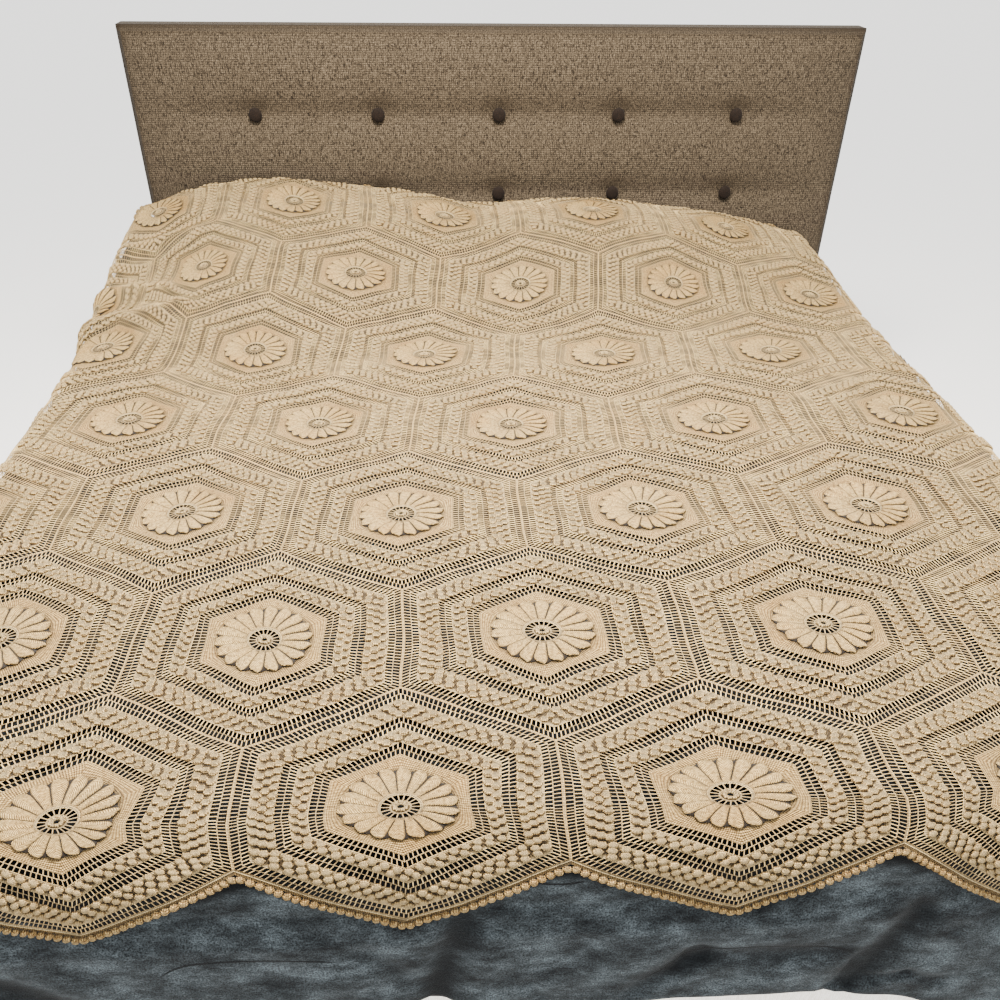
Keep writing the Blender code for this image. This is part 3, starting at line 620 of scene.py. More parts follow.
def round_band(work, sections, around=36):
    """A band of circles about the middle: (radius, lift, painted shade, painted highlight) from the inside
    out.
    """
    rows = []
    for radius, lift, shade, pale in sections:
        row = []
        for k in range(around):
            angle = 2 * math.pi * k / around
            place = (radius * math.cos(angle), radius * math.sin(angle))
            row.append(work.point(*place, lift, (radius * angle, radius), shade, pale))
        rows.append(row)
    work.strip(rows, closed=True)


def bar(work, start, end, width, stitch):
    """A thin post of thread between two points: a ridge with two slopes, with painted shade at its edges
    and a painted highlight on its crown.
    """
    way = (end - start).normalized()
    side = Vector((-way.y, way.x)) * (width / 2)
    rows = []
    for share, up, shade, pale in ((1, 0.0, 0.35, 0.0), (0, CROWN, 1.0, 0.35), (-1, 0.0, 0.35, 0.0)):
        ends = [place + side * share for place in (start, end)]
        rows.append([work.point(p.x, p.y, GROUND + up, stitch, shade, pale) for p in ends])
    work.strip(rows)


def popcorn(work, place, out, radius, rise, stitch):
    """A popcorn: a small dome, a little longer along its posts than across, with painted shade at its foot
    and a painted highlight on its top.
    """
    way = Vector((-out.y, out.x))
    rings = []
    for share, up, shade, pale in ((1.0, 0.0, 0.0, 0.0), (1.0, 0.34, 0.55, 0.0), (0.70, 0.86, 1.0, 0.25)):
        ring = []
        for k in range(6):
            angle = math.radians(60 * k)
            along_posts = out * (radius * POPCORN_STRETCH * share * math.cos(angle))
            p = place + along_posts + way * (radius * share * math.sin(angle))
            stitch_there = (stitch[0] + p.x, stitch[1] + p.y)
            ring.append(work.point(p.x, p.y, GROUND + rise * up, stitch_there, shade, pale))
        rings.append(ring)
    work.strip(rings, closed=True)
    work.cap(rings[-1], work.point(place.x, place.y, GROUND + rise, stitch, 1.0, 0.4))


# One petal: its points along it from the spokes to its tip, and across it from its low edge to its high one
PETAL_ALONG = (0.0, 0.18, 0.4, 0.6, 0.74, 0.85, 0.93, 0.98, 1.0)
PETAL_ACROSS = (-1.0, -0.62, -0.46, -0.30, 0.1, 0.5, 0.92, 1.0)
PETAL_START = 0.0022  # past the ring of spokes
PETAL_HALF = math.radians(12.2)
PETAL_SWIRL = math.radians(5)
PETAL_BOW = 0.0007
PETAL_FOOT = 0.0005
PETAL_RISE = 0.0028
PETAL_EDGE = 0.0016  # how far its rim is turned down, and its tip bent back
PETAL_RIB = 0.00105  # a round's crest, clear of the painted shade between rounds


def petal_half(s):
    """Half the angle of a petal, s of the way along it: it widens a little and ends in a round tip."""
    tip = max(0.0, (s - 0.68) / 0.32)
    return PETAL_HALF * (1 + 0.10 * s) * math.sqrt(max(0.0, 1 - tip**2.2) * 0.97 + 0.03)


def petal(work, middle_angle):
    """One blade of the pinwheel flower, which rises to the edge that lies over the next blade."""
    inner, outer = SPOKE_RING * APOTHEM + PETAL_START, PETAL_RING * APOTHEM
    rows = []
    for s in PETAL_ALONG:
        radius = inner + (outer - inner) * s
        half = petal_half(s)
        row = []
        for t in PETAL_ACROSS:
            under = PETAL_EDGE if t == 1.0 else 0.0
            lip = PETAL_EDGE if s == 1.0 else 0.0
            bow = PETAL_BOW * (1 - t * t) * min(1.0, 4 * s)
            rise = PETAL_FOOT + PETAL_RISE * ((t + 1) / 2) ** 1.4 * min(1.0, 0.3 + 1.6 * s)
            lift = GROUND + bow + rise + CROWN * s - under - lip
            bend = radius - PETAL_EDGE * t * t * s
            angle = middle_angle - half * t - PETAL_SWIRL * (s - 0.5) * (1 - 0.6 * s)
            # Painted shade in the slit under the next blade's edge, and under the turned-down rim and tip.
            shade = 0.0 if (under or lip) else min(0.84, max(0.0, (t + 0.44) * 5.5))
            stitch = (0.006 + abs(t) * 0.010 + s * 0.040, PETAL_RIB)
            row.append(work.point(bend * math.cos(angle), bend * math.sin(angle), lift, stitch, shade))
        rows.append(row)
    work.strip(rows)


def mesh_band(work, inner, outer):
    """Two rows of oblong holes in brick order: posts of thread with a chain between the rows."""
    middle = (inner + outer) / 2
    half_chain = CROSSBAR / 2 / APOTHEM
    # The chain has painted shade at its sides and a painted highlight on its crown.
    chain = [
        hexagon_ring(work, middle - half_chain, GROUND, 0.4, 0.1),
        hexagon_ring(work, middle, GROUND + CROWN, 1.0, 0.35),
        hexagon_ring(work, middle + half_chain, GROUND, 0.4, 0.1),
    ]
    hexagon_band(work, chain)
    for row, (low, high) in enumerate(((inner, middle), (middle, outer))):
        count = round(side_length((low + high) / 2) / MESH_PITCH)
        for side in range(6):
            for k in range(count):
                t = (k + 0.5 * row) / count
                start, stitch = on_side(low, side, t)
                end, _ = on_side(high, side, t)
                bar(work, start, end, BAR_WIDTH, stitch)


def popcorn_band(work, inner, outer, rings, per_side):
    """Plain rounds with popcorns that stand in staggered rows."""
    rows = []
    steps = 4
    for k in range(steps + 1):
        # Painted shade on the ground between the popcorns, and a painted highlight on the first and last
        # rounds.
        up, shade, pale = (CROWN, 0.9, 0.35) if k in (0, steps) else (0.0, 0.14, 0.0)
        ring = inner + (outer - inner) * k / steps
        rows.append(hexagon_ring(work, ring, GROUND + up, shade, pale))
    hexagon_band(work, rows)
    for row, ring in enumerate(rings):
        for side in range(6):
            out, _ = side_axes(side)
            for k in range(per_side):
                wobble = math.sin(12.9 * k + 7.3 * row + 3.1 * side)
                t = (k + 0.5 + (0.25 if row % 2 else -0.25) + 0.03 * wobble) / per_side
                place, stitch = on_side(ring + 0.0015 * math.sin(5.1 * k + 2.0 * side), side, t)
                size = POPCORN_RADIUS * (1 + 0.07 * wobble)
                popcorn(work, place, out, size, POPCORN_RISE * (1 + 0.10 * wobble), stitch)


PUFFS = 9
PUFF_PLACE = 0.0064  # from the motif's middle
PUFF_RADIUS = 0.0025
PUFF_RISE = 0.0034


def pierced_eye(work):
    """The ring round the open eye, with its round of small puffs."""
    eye, puffs = EYE_RING * APOTHEM, PUFF_RING * APOTHEM
    sections = (
        (eye, GROUND, 0.3, 0.2),
        (eye + 0.0009, GROUND + 0.0024, 1.0, 0.4),
        (eye + 0.0026, GROUND, 0.4, 0.2),
        (puffs - 0.0010, GROUND, 0.4, 0.0),
        (puffs, GROUND + 0.0012, 1.0, 0.4),
        (puffs + 0.0009, GROUND, 0.3, 0.1),
    )
    round_band(work, sections)
    for k in range(PUFFS):
        angle = 2 * math.pi * (k + 0.3) / PUFFS
        out = Vector((math.cos(angle), math.sin(angle)))
        popcorn(work, out * PUFF_PLACE, out, PUFF_RADIUS, PUFF_RISE, (0.0, 0.0))


def spoke_round(work):
    """The open round of spokes, and the raised round that they end in."""
    puffs, spokes = PUFF_RING * APOTHEM, SPOKE_RING * APOTHEM
    for k in range(PETALS):
        angle = 2 * math.pi * k / PETALS
        out = Vector((math.cos(angle), math.sin(angle)))
        bar(work, out * (puffs - 0.0003), out * (spokes + 0.0006), SPOKE_WIDTH, (0.0, 0.0))
    sections = (
        (spokes - 0.0002, GROUND, 0.4, 0.3),
        (spokes + 0.0010, GROUND + 0.0013, 1.0, 0.3),
        (spokes + 0.0030, GROUND + 0.0012, 0.7, 0.0),
        (0.20 * APOTHEM, GROUND, 0.2, 0.0),
    )
    round_band(work, sections)


def plain_hexagon(work):
    """The close rounds under the petals and about them, which turn from a circle into a hexagon."""
    start, steps, roundness = 0.365, 4, 0.9
    # Painted shade under the petals and round their tips, and a painted highlight on the outer round.
    rows = [
        hexagon_ring(work, 0.19, GROUND - 0.0004, 0.0, 0.0, 1.0),
        hexagon_ring(work, 0.335, GROUND, 0.1, 0.0, 1.0),
        hexagon_ring(work, start, GROUND, 0.6, 0.0, roundness),
    ]
    for k in range(1, steps + 1):
        ring = start + (PLAIN_HEXAGON - start) * k / steps
        pale = 0.1 if k == steps else 0.0
        round_part = roundness * (1 - k / steps) ** 1.5
        rows.append(hexagon_ring(work, ring, GROUND + 0.0004, 0.86, pale, round_part))
    hexagon_band(work, rows)


def flower(work):
    """The motif's middle: its eye and spokes, the pinwheel of petals and the plain hexagon."""
    pierced_eye(work)
    spoke_round(work)
    for k in range(PETALS):
        petal(work, 2 * math.pi * (k + 0.5) / PETALS)
    plain_hexagon(work)


def hexagon_motif():
    """One whole motif, from its eye to the seam that joins it to the next, which has painted shade at its
    sides and a painted highlight on its crest.
    """
    work = Work()
    flower(work)
    for inner, outer in MESH_BANDS:
        mesh_band(work, inner, outer)
    for (rings, per_side), (_, inner), (outer, _) in zip(POPCORN_BANDS, MESH_BANDS, MESH_BANDS[1:]):
        popcorn_band(work, inner, outer, rings, per_side)
    seam = [
        hexagon_ring(work, MESH_BANDS[-1][1], GROUND, 0.6, 0.0),
        hexagon_ring(work, 0.995, GROUND + 0.0007, 1.0, 0.25),
        hexagon_ring(work, 1.0, GROUND - 0.0004, 0.25, 0.0),
    ]
    hexagon_band(work, seam)
    return work


def laid_mesh(name, columns, faces, surface, material):
    """A mesh of flat work laid on a surface, with its flat and stitch coordinates and its painted shade and
    highlight.
    """
    u, v, lift, stitch_u, stitch_v, shade, pale = columns
    placed_u, placed_v, stand_off = uneven(u, v)
    points = lifted(surface, placed_u, placed_v, lift + stand_off) + SHIFT
    mesh = bpy.data.meshes.new(name)
    mesh.from_pydata(points.tolist(), [], faces)
    corners = np.empty(len(mesh.loops), dtype=np.int64)
    mesh.loops.foreach_get("vertex_index", corners)
    for layer, a, b in (("flat", u, v), ("stitch", stitch_u, stitch_v)):
        uv = mesh.uv_layers.new(name=layer)
        uv.data.foreach_set("uv", np.stack([a[corners], b[corners]], axis=1).astype(np.float32).ravel())
    for layer, values in (("shade", shade), ("pale", pale)):
        attribute = mesh.attributes.new(layer, "FLOAT", "POINT")
        attribute.data.foreach_set("value", values.astype(np.float32))
    mesh.shade_smooth()
    mesh.materials.append(material)
    piece = bpy.data.objects.new(name, mesh)
    bpy.context.scene.collection.objects.link(piece)
    return piece


def places_in(row):
    """The places of a row's motifs, in apothems from the afghan's middle line."""
    return NARROW_ROW if row % 2 == 0 else WIDE_ROW


def afghan_row(motif, row, material):
    """A row of motifs, joined side by side and laid on the bed."""
    flat = np.array(motif.points).T
    columns, faces = [], []
    for n, place in enumerate(places_in(row)):
        copy = flat.copy()
        copy[0] += place * APOTHEM
        copy[1] += row * ROW_STEP
        columns.append(copy)
        start = n * flat.shape[1]
        faces += [tuple(i + start for i in face) for face in motif.faces]
    return laid_mesh(f"afghan_row_{row + 1}", np.concatenate(columns, axis=1), faces, drape, material)


def outline():
    """The corners of the zigzag outline, once round the afghan."""
    hexagon = ((1, -1), (1, 1), (0, 2), (-1, 1), (-1, -1), (0, -2))
    sides = set()
    for row in range(ROW_COUNT):
        for place in places_in(row):
            corners = [(place + i, 3 * row + j) for i, j in hexagon]
            sides.update(zip(corners, corners[1:] + corners[:1]))
    after = {a: b for a, b in sides if (b, a) not in sides}
    walk = [min(after)]
    while after[walk[-1]] != walk[0]:
        walk.append(after[walk[-1]])
    return [Vector((i * APOTHEM, j * ROW_STEP / 3)) for i, j in walk]


def outward_steps(corners):
    """For each corner of the outline, the step that moves both of its sides out by one."""
    steps = []
    for i, corner in enumerate(corners):
        before = (corner - corners[i - 1]).normalized()
        after = (corners[(i + 1) % len(corners)] - corner).normalized()
        mean = Vector((before.y + after.y, -before.x - after.x)) / 2
        steps.append(mean / mean.length_squared)
    return steps


# The hem's two narrow rounds, from the motifs out: how far out, how high, painted shade and painted
# highlight
HEM_ROUNDS = (
    (0.0, 0.0, 0.3, 0.1),
    (0.0012, 0.0012, 1.0, 0.5),
    (0.0024, 0.0002, 0.1, 0.0),
    (0.0046, 0.0006, 0.7, 0.0),
    (0.0066, 0.0002, 0.0, 0.0),
)
HEM_STEPS = 12  # points along one side of the outline
HEM_STITCHES = 0.19  # the length of that side, as its stitches are counted
BEAD_LINE = 0.0104
BEAD_SIDES = 7


def bead(work, place, radius):
    """A popcorn on the border, round on both faces."""
    rings = []
    # Painted shade on its lower half and under it, and a painted highlight on its top.
    for share, height, shade in ((0.62, 0.0062, 1.0), (1.0, 0.0030, 0.3), (0.62, -0.0006, 0.3)):
        ring = []
        for k in range(BEAD_SIDES):
            angle = 2 * math.pi * k / BEAD_SIDES
            x = place.x + radius * share * math.cos(angle)
            y = place.y + radius * share * math.sin(angle)
            ring.append(work.point(x, y, height, (x, y), shade))
        rings.append(ring)
    top = work.point(place.x, place.y, 0.0074, (0.0, 0.0), 1.0, 0.15)
    low = work.point(place.x, place.y, -0.0010, (0.0, 0.0), 0.1)
    for inner, outer in zip(rings, rings[1:]):
        for k in range(BEAD_SIDES):
            j = (k + 1) % BEAD_SIDES
            work.faces.append((inner[k], outer[k], outer[j], inner[j]))
    work.cap(rings[0], top)
    work.cap(rings[-1][::-1], low)


def hem_rounds(work, corners, outward):
    """The border's two narrow rounds along the zigzag."""
    rows = [[] for _ in HEM_ROUNDS]
    for i in range(len(corners)):
        j = (i + 1) % len(corners)
        for k in range(HEM_STEPS):
            t = k / HEM_STEPS
            for row, (away, up, shade, pale) in zip(rows, HEM_ROUNDS):
                p = (corners[i] + outward[i] * away).lerp(corners[j] + outward[j] * away, t)
                row.append(work.point(p.x, p.y, GROUND + up, (t * HEM_STITCHES, away), shade, pale))
    work.strip(rows, closed=True)


def hem_beads(work, corners, outward):
    """A round of popcorn beads on the border's edge."""
    for i in range(len(corners)):
        j = (i + 1) % len(corners)
        start = corners[i] + outward[i] * BEAD_LINE
        end = corners[j] + outward[j] * BEAD_LINE
        beads = max(1, round((end - start).length / BEAD_PITCH))
        for k in range(beads):
            bead(work, start.lerp(end, (k + 0.5) / beads), BEAD_RADIUS)


def afghan_hem(material):
    """The afghan's border, worked round the joined motifs."""
    work = Work()
    corners = outline()
    outward = outward_steps(corners)
    hem_rounds(work, corners, outward)
    hem_beads(work, corners, outward)
    columns = np.array(work.points).T
    return laid_mesh("afghan_hem", columns, work.faces, drape, material)


# The blanket

# How far down its lower edge hangs at the foot: the place across, and the depth
BLANKET_EDGE = (
    (-1.04, 0.285),
    (-0.61, 0.285),
    (-0.29, 0.304),
    (-0.11, 0.299),
    (0.02, 0.312),
    (0.18, 0.310),
    (0.34, 0.315),
    (0.41, 0.332),
    (0.49, 0.366),
    (0.55, 0.384),
    (0.72, 0.360),
    (1.04, 0.310),
)
# Two ends (place across, depth, place across, depth), half width, how far drawn in
BLANKET_FOLDS = (
    (-0.105, 0.150, -0.136, 0.300, 0.020, 0.011),
    (0.088, 0.290, 0.150, 0.228, 0.018, 0.008),
    (0.150, 0.228, 0.315, 0.235, 0.018, 0.006),
    (0.385, 0.170, 0.340, 0.285, 0.022, 0.011),
    (-0.640, 0.200, -0.540, 0.270, 0.030, 0.010),
)
# Narrow wrinkles between them
BLANKET_WRINKLES = (
    (-0.030, 0.097, -0.030, 0.150, 0.004, 0.002),
    (0.217, 0.135, 0.220, 0.193, 0.004, 0.003),
    (0.312, 0.306, 0.356, 0.272, 0.008, 0.005),
    (0.336, 0.306, 0.341, 0.256, 0.007, 0.004),
    (0.362, 0.292, 0.400, 0.281, 0.008, 0.005),
    (0.400, 0.281, 0.441, 0.299, 0.008, 0.004),
    (0.390, 0.153, 0.430, 0.197, 0.012, 0.004),
    (-0.020, 0.290, -0.032, 0.262, 0.007, 0.004),
    (0.470, 0.170, 0.560, 0.230, 0.016, 0.006),
    (-0.200, 0.190, -0.150, 0.260, 0.016, 0.004),
)
BLANKET_PUFF = 0.011
PUFF_START = 0.04  # it stands out over this length below the afghan's hem
# How deep the afghan's zigzag hem hangs over it, at its tips and in its notches
HEM_REACH = 0.135
NOTCH_REACH = 0.066
TIP_PLACE = 0.167
TIP_SPACING = 0.3205
# How much painted shade darkens the pile: for each metre that a fold or wrinkle is drawn in, and under the
# hem
FOLD_SHADE = 85
WRINKLE_SHADE = 60
DARKEST_FOLD = 0.85
COVER_MARGIN = 0.014
COVER_EDGE = 0.012


def fold_field(p, depth, folds):
    """The depth of straight folds at a place of the blanket's hanging part."""
    total = np.zeros_like(p)
    for x0, y0, x1, y1, half_width, drawn in folds:
        length = math.hypot(x1 - x0, y1 - y0)
        ux, uy = (x1 - x0) / length, (y1 - y0) / length
        t = np.clip((p - x0) * ux + (depth - y0) * uy, 0, length)
        off = np.hypot(p - x0 - t * ux, depth - y0 - t * uy)
        total = total + drawn * np.exp(-((off / half_width) ** 2))
    return total


def blanket_folds(p, depth):
    """How far the blanket's hanging part stands out, drawn in at its folds and wrinkles."""
    ripple = 0.0016 * np.sin(p * 41 + 2 * np.sin(depth * 23)) * np.sin(depth * 37 + 3 * p)
    drawn = fold_field(p, depth, BLANKET_FOLDS) + fold_field(p, depth, BLANKET_WRINKLES)
    below_hem = np.clip((depth - HEM_REACH) / PUFF_START, 0, 1)
    return np.maximum(BLANKET_PUFF + ripple - drawn, 0.0) * below_hem


def covered_to(p):
    """How far down the afghan's zigzag hem covers the blanket at the foot."""
    t = (p - TIP_PLACE) / TIP_SPACING
    tip = np.abs(2 * (t - np.floor(t)) - 1)
    return NOTCH_REACH + (HEM_REACH - NOTCH_REACH) * tip


def rounded_corners(p, q):
    """Draws in the blanket's two corners at the foot, which are cut round."""
    past_x = np.clip(np.abs(p) - SHOULDER_X, 0, None)
    past_y = np.clip(SHOULDER_FOOT - q, 0, None)
    diagonal = 2 * past_x * past_y / np.maximum(past_x**2 + past_y**2, 1e-12)
    share = 1 - BLANKET_CORNER_CUT * diagonal**2
    across = np.where(past_x > 0, np.sign(p) * (SHOULDER_X + past_x * share), p)
    return across, np.where(past_y > 0, SHOULDER_FOOT - past_y * share, q)


def blanket_grid():
    """The blanket's points on the bed's developed surface, in columns across and rows from foot to head.

    They lie closest where its folds show at the foot.
    """
    shown = np.linspace(-SHOULDER_X, SHOULDER_X, 255)
    side = np.linspace(SHOULDER_X, BLANKET_SIDE_REACH, 19)[1:]
    columns = np.concatenate([-side[::-1], shown, side])
    turn = FOOT_ROUND * math.pi / 2
    shares = np.linspace(1.0, 0.0, 46)[:-1]
    bend = np.linspace(SHOULDER_FOOT - turn, SHOULDER_FOOT, 16)
    top = np.concatenate([bend[:-1], np.linspace(SHOULDER_FOOT, BLANKET_HEAD, 42)])
    p, q = np.meshgrid(columns, np.concatenate([shares, top]))
    for row, share in enumerate(shares):
        q[row] = bend[0] - share * (along(BLANKET_EDGE, p[row], 1) + bend[0])
    return rounded_corners(p, q)


def blanket_inset(p, q):
    """How far the blanket lies inside the afghan: a little more round the bed's edges and at the head."""
    past_foot = SHOULDER_FOOT - q - BLANKET_FOOT_BEND
    past_end = np.maximum(past_foot, q - SHOULDER_HEAD + 0.04)
    past_side = np.abs(p) - SHOULDER_X
    side_bend = BLANKET_SIDE_GAP * np.clip((past_side + BLANKET_BEND_FROM) / BLANKET_BEND_LENGTH, 0, 1)
    end_bend = BLANKET_BEND_GAP * np.clip((past_end + BLANKET_BEND_FROM) / BLANKET_BEND_LENGTH, 0, 1)
    return BLANKET_GAP + np.maximum(side_bend, end_bend)


def painted_pile_lightness(p, hanging):
    """How light painted shade leaves the pile: darkened where the afghan covers it, and in its folds and
    wrinkles.
    """
    in_folds = fold_field(p, hanging, BLANKET_FOLDS) * FOLD_SHADE
    in_folds = in_folds + fold_field(p, hanging, BLANKET_WRINKLES) * WRINKLE_SHADE
    uncovered = np.clip((hanging - covered_to(p) - COVER_MARGIN) / COVER_EDGE, 0, 1)
    return uncovered * (1 - np.clip(in_folds, 0, DARKEST_FOLD))


def fleece_blanket(material):
    """The blanket under the afghan: one sheet that follows the bed, with creases where it hangs."""
    p, q = blanket_grid()
    hanging = SHOULDER_FOOT - q
    inset = blanket_inset(p, q) - blanket_folds(p, hanging)
    flat = np.stack([p, q, -inset, p, q, painted_pile_lightness(p, hanging), np.zeros(p.shape)]).reshape(7, -1)
    deep, wide = p.shape
    faces = []
    for row in range(deep - 1):
        faces += [(a, a + 1, a + wide + 1, a + wide) for a in range(row * wide, row * wide + wide - 1)]
    blanket = laid_mesh("fleece_blanket", flat, faces, hang, material)
    with_thickness(blanket, BLANKET)
    return blanket


def make_active(piece):
    """Selects one piece alone, for the operators."""
    bpy.ops.object.select_all(action="DESELECT")
    piece.select_set(True)
    bpy.context.view_layer.objects.active = piece


def with_thickness(piece, thickness):
    """Gives a sheet its thickness on its under side."""
    make_active(piece)
    piece.modifiers.new("thickness", "SOLIDIFY")
    piece.modifiers["thickness"].thickness = thickness
    piece.modifiers["thickness"].offset = -1.0
    bpy.ops.object.modifier_apply(modifier="thickness")


# The bed

def settled(piece):
    """Puts a piece's place and size into its mesh."""
    make_active(piece)
    bpy.ops.object.transform_apply(location=True, rotation=True, scale=True)
    return piece


def cushioned_box(name, node, rounding, material):
    """A mattress or its base: a box with soft edges."""
    low, high = (Vector(p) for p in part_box(node))
    bpy.ops.mesh.primitive_cube_add(size=1, location=(low + high) / 2, scale=high - low)
    box = settled(bpy.context.object)
    box.name = name
    bpy.ops.object.mode_set(mode="EDIT")
    bpy.ops.mesh.select_all(action="SELECT")
    bpy.ops.mesh.bevel(offset=rounding, segments=6, affect="EDGES")
    bpy.ops.object.mode_set(mode="OBJECT")
    bpy.ops.object.shade_smooth_by_angle(angle=math.radians(40))
    box.data.materials.append(material)
    return box


def node_middle(node):
    """The middle of a CAD node's box."""
    low, high = (Vector(p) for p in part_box(node))
    return (low + high) / 2


def button_nodes():
    """The names of the two rows of buttons."""
    return [f"button_{row}_{column}" for row in (1, 2) for column in range(1, 6)]


def tuft_rise(x, z, places):
    """How far the padded face is drawn in by its buttons, with a valley that runs between neighbours."""
    drawn = np.zeros_like(x)
    for bx, bz in places:
        off = np.hypot(x - bx, z - bz)
        drawn = np.maximum(drawn, TUFT_DEPTH * np.exp(-((off / TUFT_REACH) ** 1.1)))
        channel = CHANNEL_DEPTH * np.exp(-((np.abs(z - bz) / CHANNEL_REACH) ** 1.2))
        drawn = np.maximum(drawn, channel * np.exp(-((x - bx) / CHANNEL_LENGTH) ** 4))
    return drawn


def painted_face_shade(x, z, rim, side_rim, places):
    """How much painted shade darkens the padded face: at its rim, towards its ends and just over each
    button.
    """
    painted_shade = RIM_SHADE * np.exp(-((rim / RIM_REACH) ** 2)) + END_SHADE * np.exp(-side_rim / END_REACH)
    for bx, bz in places:
        above = np.exp(-(((z - bz - OVER_BUTTON) / OVER_BUTTON) ** 2))
        beside = BUTTON_SHADE * np.exp(-(((x - bx) / BUTTON_REACH) ** 2))
        painted_shade = np.maximum(painted_shade, above * (beside + ROW_SHADE))
    return painted_shade


def close_panel(depth):
    """Carries the active grid's border back in two steps of a depth, and closes it with a flat back."""
    bpy.ops.object.mode_set(mode="EDIT")
    bpy.ops.mesh.select_all(action="DESELECT")
    bpy.ops.mesh.select_mode(type="EDGE")
    bpy.ops.mesh.select_non_manifold(
        extend=False,
        use_wire=False,
        use_boundary=True,
        use_multi_face=False,
        use_non_contiguous=False,
        use_verts=False,
    )
    for _ in range(2):
        bpy.ops.mesh.extrude_region_move(TRANSFORM_OT_translate={"value": (0, depth, 0)})
    bpy.ops.mesh.edge_face_add()
    bpy.ops.mesh.select_all(action="SELECT")
    bpy.ops.mesh.normals_make_consistent(inside=False)
    bpy.ops.object.mode_set(mode="OBJECT")


def padded_headboard(material):
    """The headboard's panel: a padded face drawn in at the buttons, rolled edges and a flat back."""
    low, high = (Vector(p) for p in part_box("headboard"))
    centre = (low + high) / 2
    wide, tall = high.x - low.x, high.z - low.z
    bpy.ops.mesh.primitive_grid_add(x_subdivisions=150, y_subdivisions=72, size=1)
    panel = bpy.context.object
    panel.name = "padded_headboard"
    mesh = panel.data
    flat = np.empty(len(mesh.vertices) * 3)
    mesh.vertices.foreach_get("co", flat)
    flat = flat.reshape(-1, 3)
    x, z = centre.x + flat[:, 0] * wide, centre.z + flat[:, 1] * tall
    places = [(middle.x, middle.z) for middle in map(node_middle, button_nodes())]
    side_rim = np.minimum(x - low.x, high.x - x)
    rim = np.minimum(side_rim, np.minimum(z - low.z, high.z - z))
    rolled = ROLLED_DEPTH * (1 - np.sqrt(1 - (1 - np.clip(rim / ROLLED_REACH, 0, 1)) ** 2))
    crown = CROWN_DEPTH * (1 - np.clip(rim / CROWN_REACH, 0, 1)) ** 2
    y = low.y + rolled + crown + tuft_rise(x, z, places)
    mesh.vertices.foreach_set("co", np.stack([x, y, z], axis=1).ravel())
    mesh.update()
    edge = mesh.attributes.new("edge", "FLOAT", "POINT")
    edge.data.foreach_set("value", painted_face_shade(x, z, rim, side_rim, places))
    make_active(panel)
    close_panel((high.y - low.y - ROLLED_DEPTH - CROWN_DEPTH) / 2)
    # Painted shade: the panel's sides and back are darkened evenly, and less than at its front rim.
    for vertex, shading in zip(mesh.vertices, mesh.attributes["edge"].data):
        if vertex.co.y > low.y + PANEL_FRONT:
            shading.value = SIDE_SHADE
    bpy.ops.object.shade_smooth_by_angle(angle=math.radians(35))
    mesh.materials.append(material)
    return panel


def covered_button(node, material):
    """A button covered in cloth: a low dome with its cloth drawn in behind the rim."""
    low, high = (Vector(p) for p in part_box(node))
    middle = node_middle(node)
    radius = (high.x - low.x) / 2
    bpy.ops.mesh.primitive_uv_sphere_add(segments=20, ring_count=10, radius=radius)
    button = bpy.context.object
    button.name = f"covered_{node}"
    for vert in button.data.vertices:
        share = max(-1.0, min(1.0, vert.co.z / radius))
        flat = BUTTON_DOME * (1 - (1 - abs(share)) ** 1.6) * (1 if share > 0 else -0.9)
        pinch = 1 - BUTTON_PINCH * max(0.0, -share)
        vert.co = (middle.x + vert.co.x * pinch, middle.y - flat, middle.z + vert.co.y * pinch)
    make_active(button)
    bpy.ops.object.mode_set(mode="EDIT")
    bpy.ops.mesh.select_all(action="SELECT")
    bpy.ops.mesh.normals_make_consistent(inside=False)
    bpy.ops.object.mode_set(mode="OBJECT")
    bpy.ops.object.shade_smooth()
    button.data.materials.append(material)
    return button


def plump_pillow(node, material):
    """A pillow under the cloth, smoothed from its solid."""
    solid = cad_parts[node]
    mesh = solid.data.copy()
    pillow = bpy.data.objects.new(f"plump_{node}", mesh)
    bpy.context.scene.collection.objects.link(pillow)
    mesh.materials.clear()
    mesh.materials.append(material)
    make_active(pillow)
    bpy.ops.object.mode_set(mode="EDIT")
    bpy.ops.mesh.select_all(action="SELECT")
    bpy.ops.mesh.remove_doubles(threshold=0.00005)
    bpy.ops.mesh.tris_convert_to_quads()
    bpy.ops.object.mode_set(mode="OBJECT")
    pillow.modifiers.new("soft", "SUBSURF")
    pillow.modifiers["soft"].levels = 2
    bpy.ops.object.modifier_apply(modifier="soft")
    bpy.ops.object.shade_smooth()
    return pillow


# The picture

def set_camera():
    """The camera of the picture: from above the foot, a little to the left."""
    pitch, yaw, roll = CAMERA_PITCH, CAMERA_YAW, CAMERA_ROLL
    ahead = Vector((math.sin(yaw) * math.cos(pitch), math.cos(yaw) * math.cos(pitch), -math.sin(pitch)))
    right = Vector((math.cos(yaw), -math.sin(yaw), 0))
    up = right.cross(ahead)
    rolled_right = right * math.cos(roll) + up * math.sin(roll)
    rolled_up = up * math.cos(roll) - right * math.sin(roll)
    data = bpy.data.cameras.new("camera")
    data.sensor_width = SENSOR_WIDTH
    data.sensor_fit = "HORIZONTAL"
    data.lens = SENSOR_WIDTH * CAMERA_FOCUS
    data.shift_y = CAMERA_SHIFT
    data.clip_start = 0.05
    camera = bpy.data.objects.new("camera", data)
    bpy.context.scene.collection.objects.link(camera)
    place = Vector(CAMERA_PLACE) * MOTIF + Vector((0, 0, CLOTH_TOP + CLOTH_FACE)) + Vector(SHIFT)
    turn = Matrix((rolled_right, rolled_up, -ahead)).transposed()
    camera.matrix_world = Matrix.Translation(place) @ turn.to_4x4()
    bpy.context.scene.camera = camera


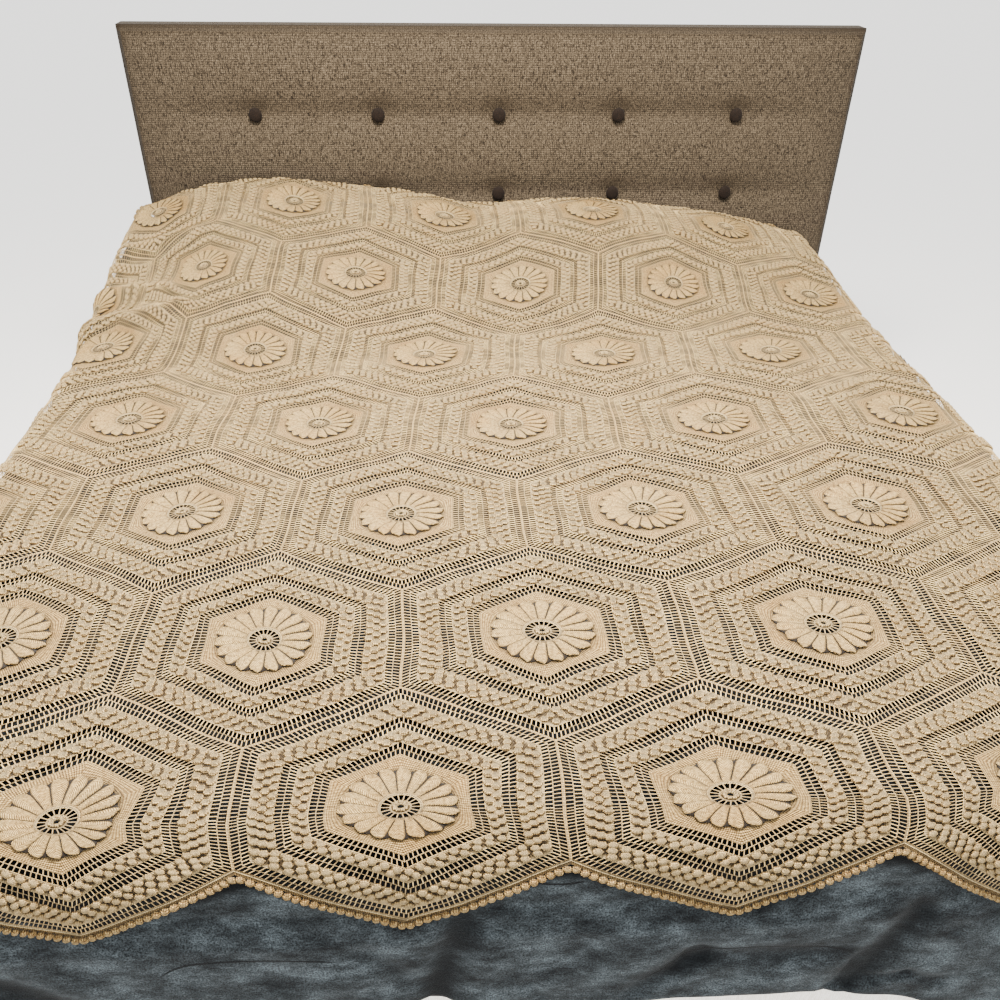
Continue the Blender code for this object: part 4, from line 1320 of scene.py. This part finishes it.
def add_light(name, place, aim, size, power, colour):
    """A square soft light at a place, turned towards another."""
    data = bpy.data.lights.new(name, "AREA")
    data.shape = "RECTANGLE"
    data.size = size
    data.size_y = size
    data.energy = power
    data.color = linear(colour)[:3]
    light = bpy.data.objects.new(name, data)
    bpy.context.scene.collection.objects.link(light)
    way = Vector(aim) - Vector(place)
    light.matrix_world = Matrix.Translation(place) @ way.to_track_quat("-Z", "Y").to_matrix().to_4x4()


def set_stage():
    """A plain pale floor, pale surroundings and soft light from above and from the foot."""
    bpy.ops.mesh.primitive_plane_add(size=90, location=(0, 0, 0))
    floor = settled(bpy.context.object)
    floor.name = "floor"
    floor.data.materials.append(pale_floor())
    world = bpy.data.worlds.new("pale_room")
    bpy.context.scene.world = world
    world.use_nodes = True
    sky = world.node_tree.nodes["Background"]
    sky.inputs["Color"].default_value = linear("F2F2F1")
    sky.inputs["Strength"].default_value = 2.5
    add_light("window", (-0.1, -0.4, 2.2), aim=(0.0, -0.2, 0.6), size=0.6, power=230, colour="FFF6E8")
    add_light("front", (0.6, -2.6, 3.0), aim=(0.0, 0.6, 0.7), size=1.8, power=70, colour="FFFAF2")


# The bed and the afghan put together

def ride_on_bed(piece, node):
    """Fixes a piece to the bed's body, in the place of a CAD node."""
    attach(piece, "root")
    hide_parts(node)
    return piece


def build_afghan():
    """The afghan's hem and rows of motifs."""
    cotton = crochet_cotton()
    motif = hexagon_motif()
    hem = ride_on_bed(afghan_hem(cotton), "afghan")
    for row in range(ROW_COUNT):
        piece = ride_on_bed(afghan_row(motif, row, cotton), "afghan")


def build_bed():
    """All that the afghan lies on, and the headboard behind it."""
    blanket = ride_on_bed(fleece_blanket(plush_fleece()), "blanket")
    ticking = cotton_ticking()
    tweed = linen_tweed()
    cover = button_cloth()
    wood = stained_beech()
    pad = ride_on_bed(cushioned_box("mattress_pad", "mattress", 0.050, ticking), "mattress")
    ride_on_bed(cushioned_box("box_base", "foundation", 0.010, ticking), "foundation")
    for node in ("pillow_left", "pillow_right"):
        ride_on_bed(plump_pillow(node, ticking), node)
    ride_on_bed(padded_headboard(tweed), "headboard")
    for node in button_nodes():
        ride_on_bed(covered_button(node, cover), node)
    for name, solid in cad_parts.items():
        if name.startswith(("leg", "strut")):
            solid.data.materials.clear()
            solid.data.materials.append(wood)


build_bed()
build_afghan()
set_camera()
set_stage()
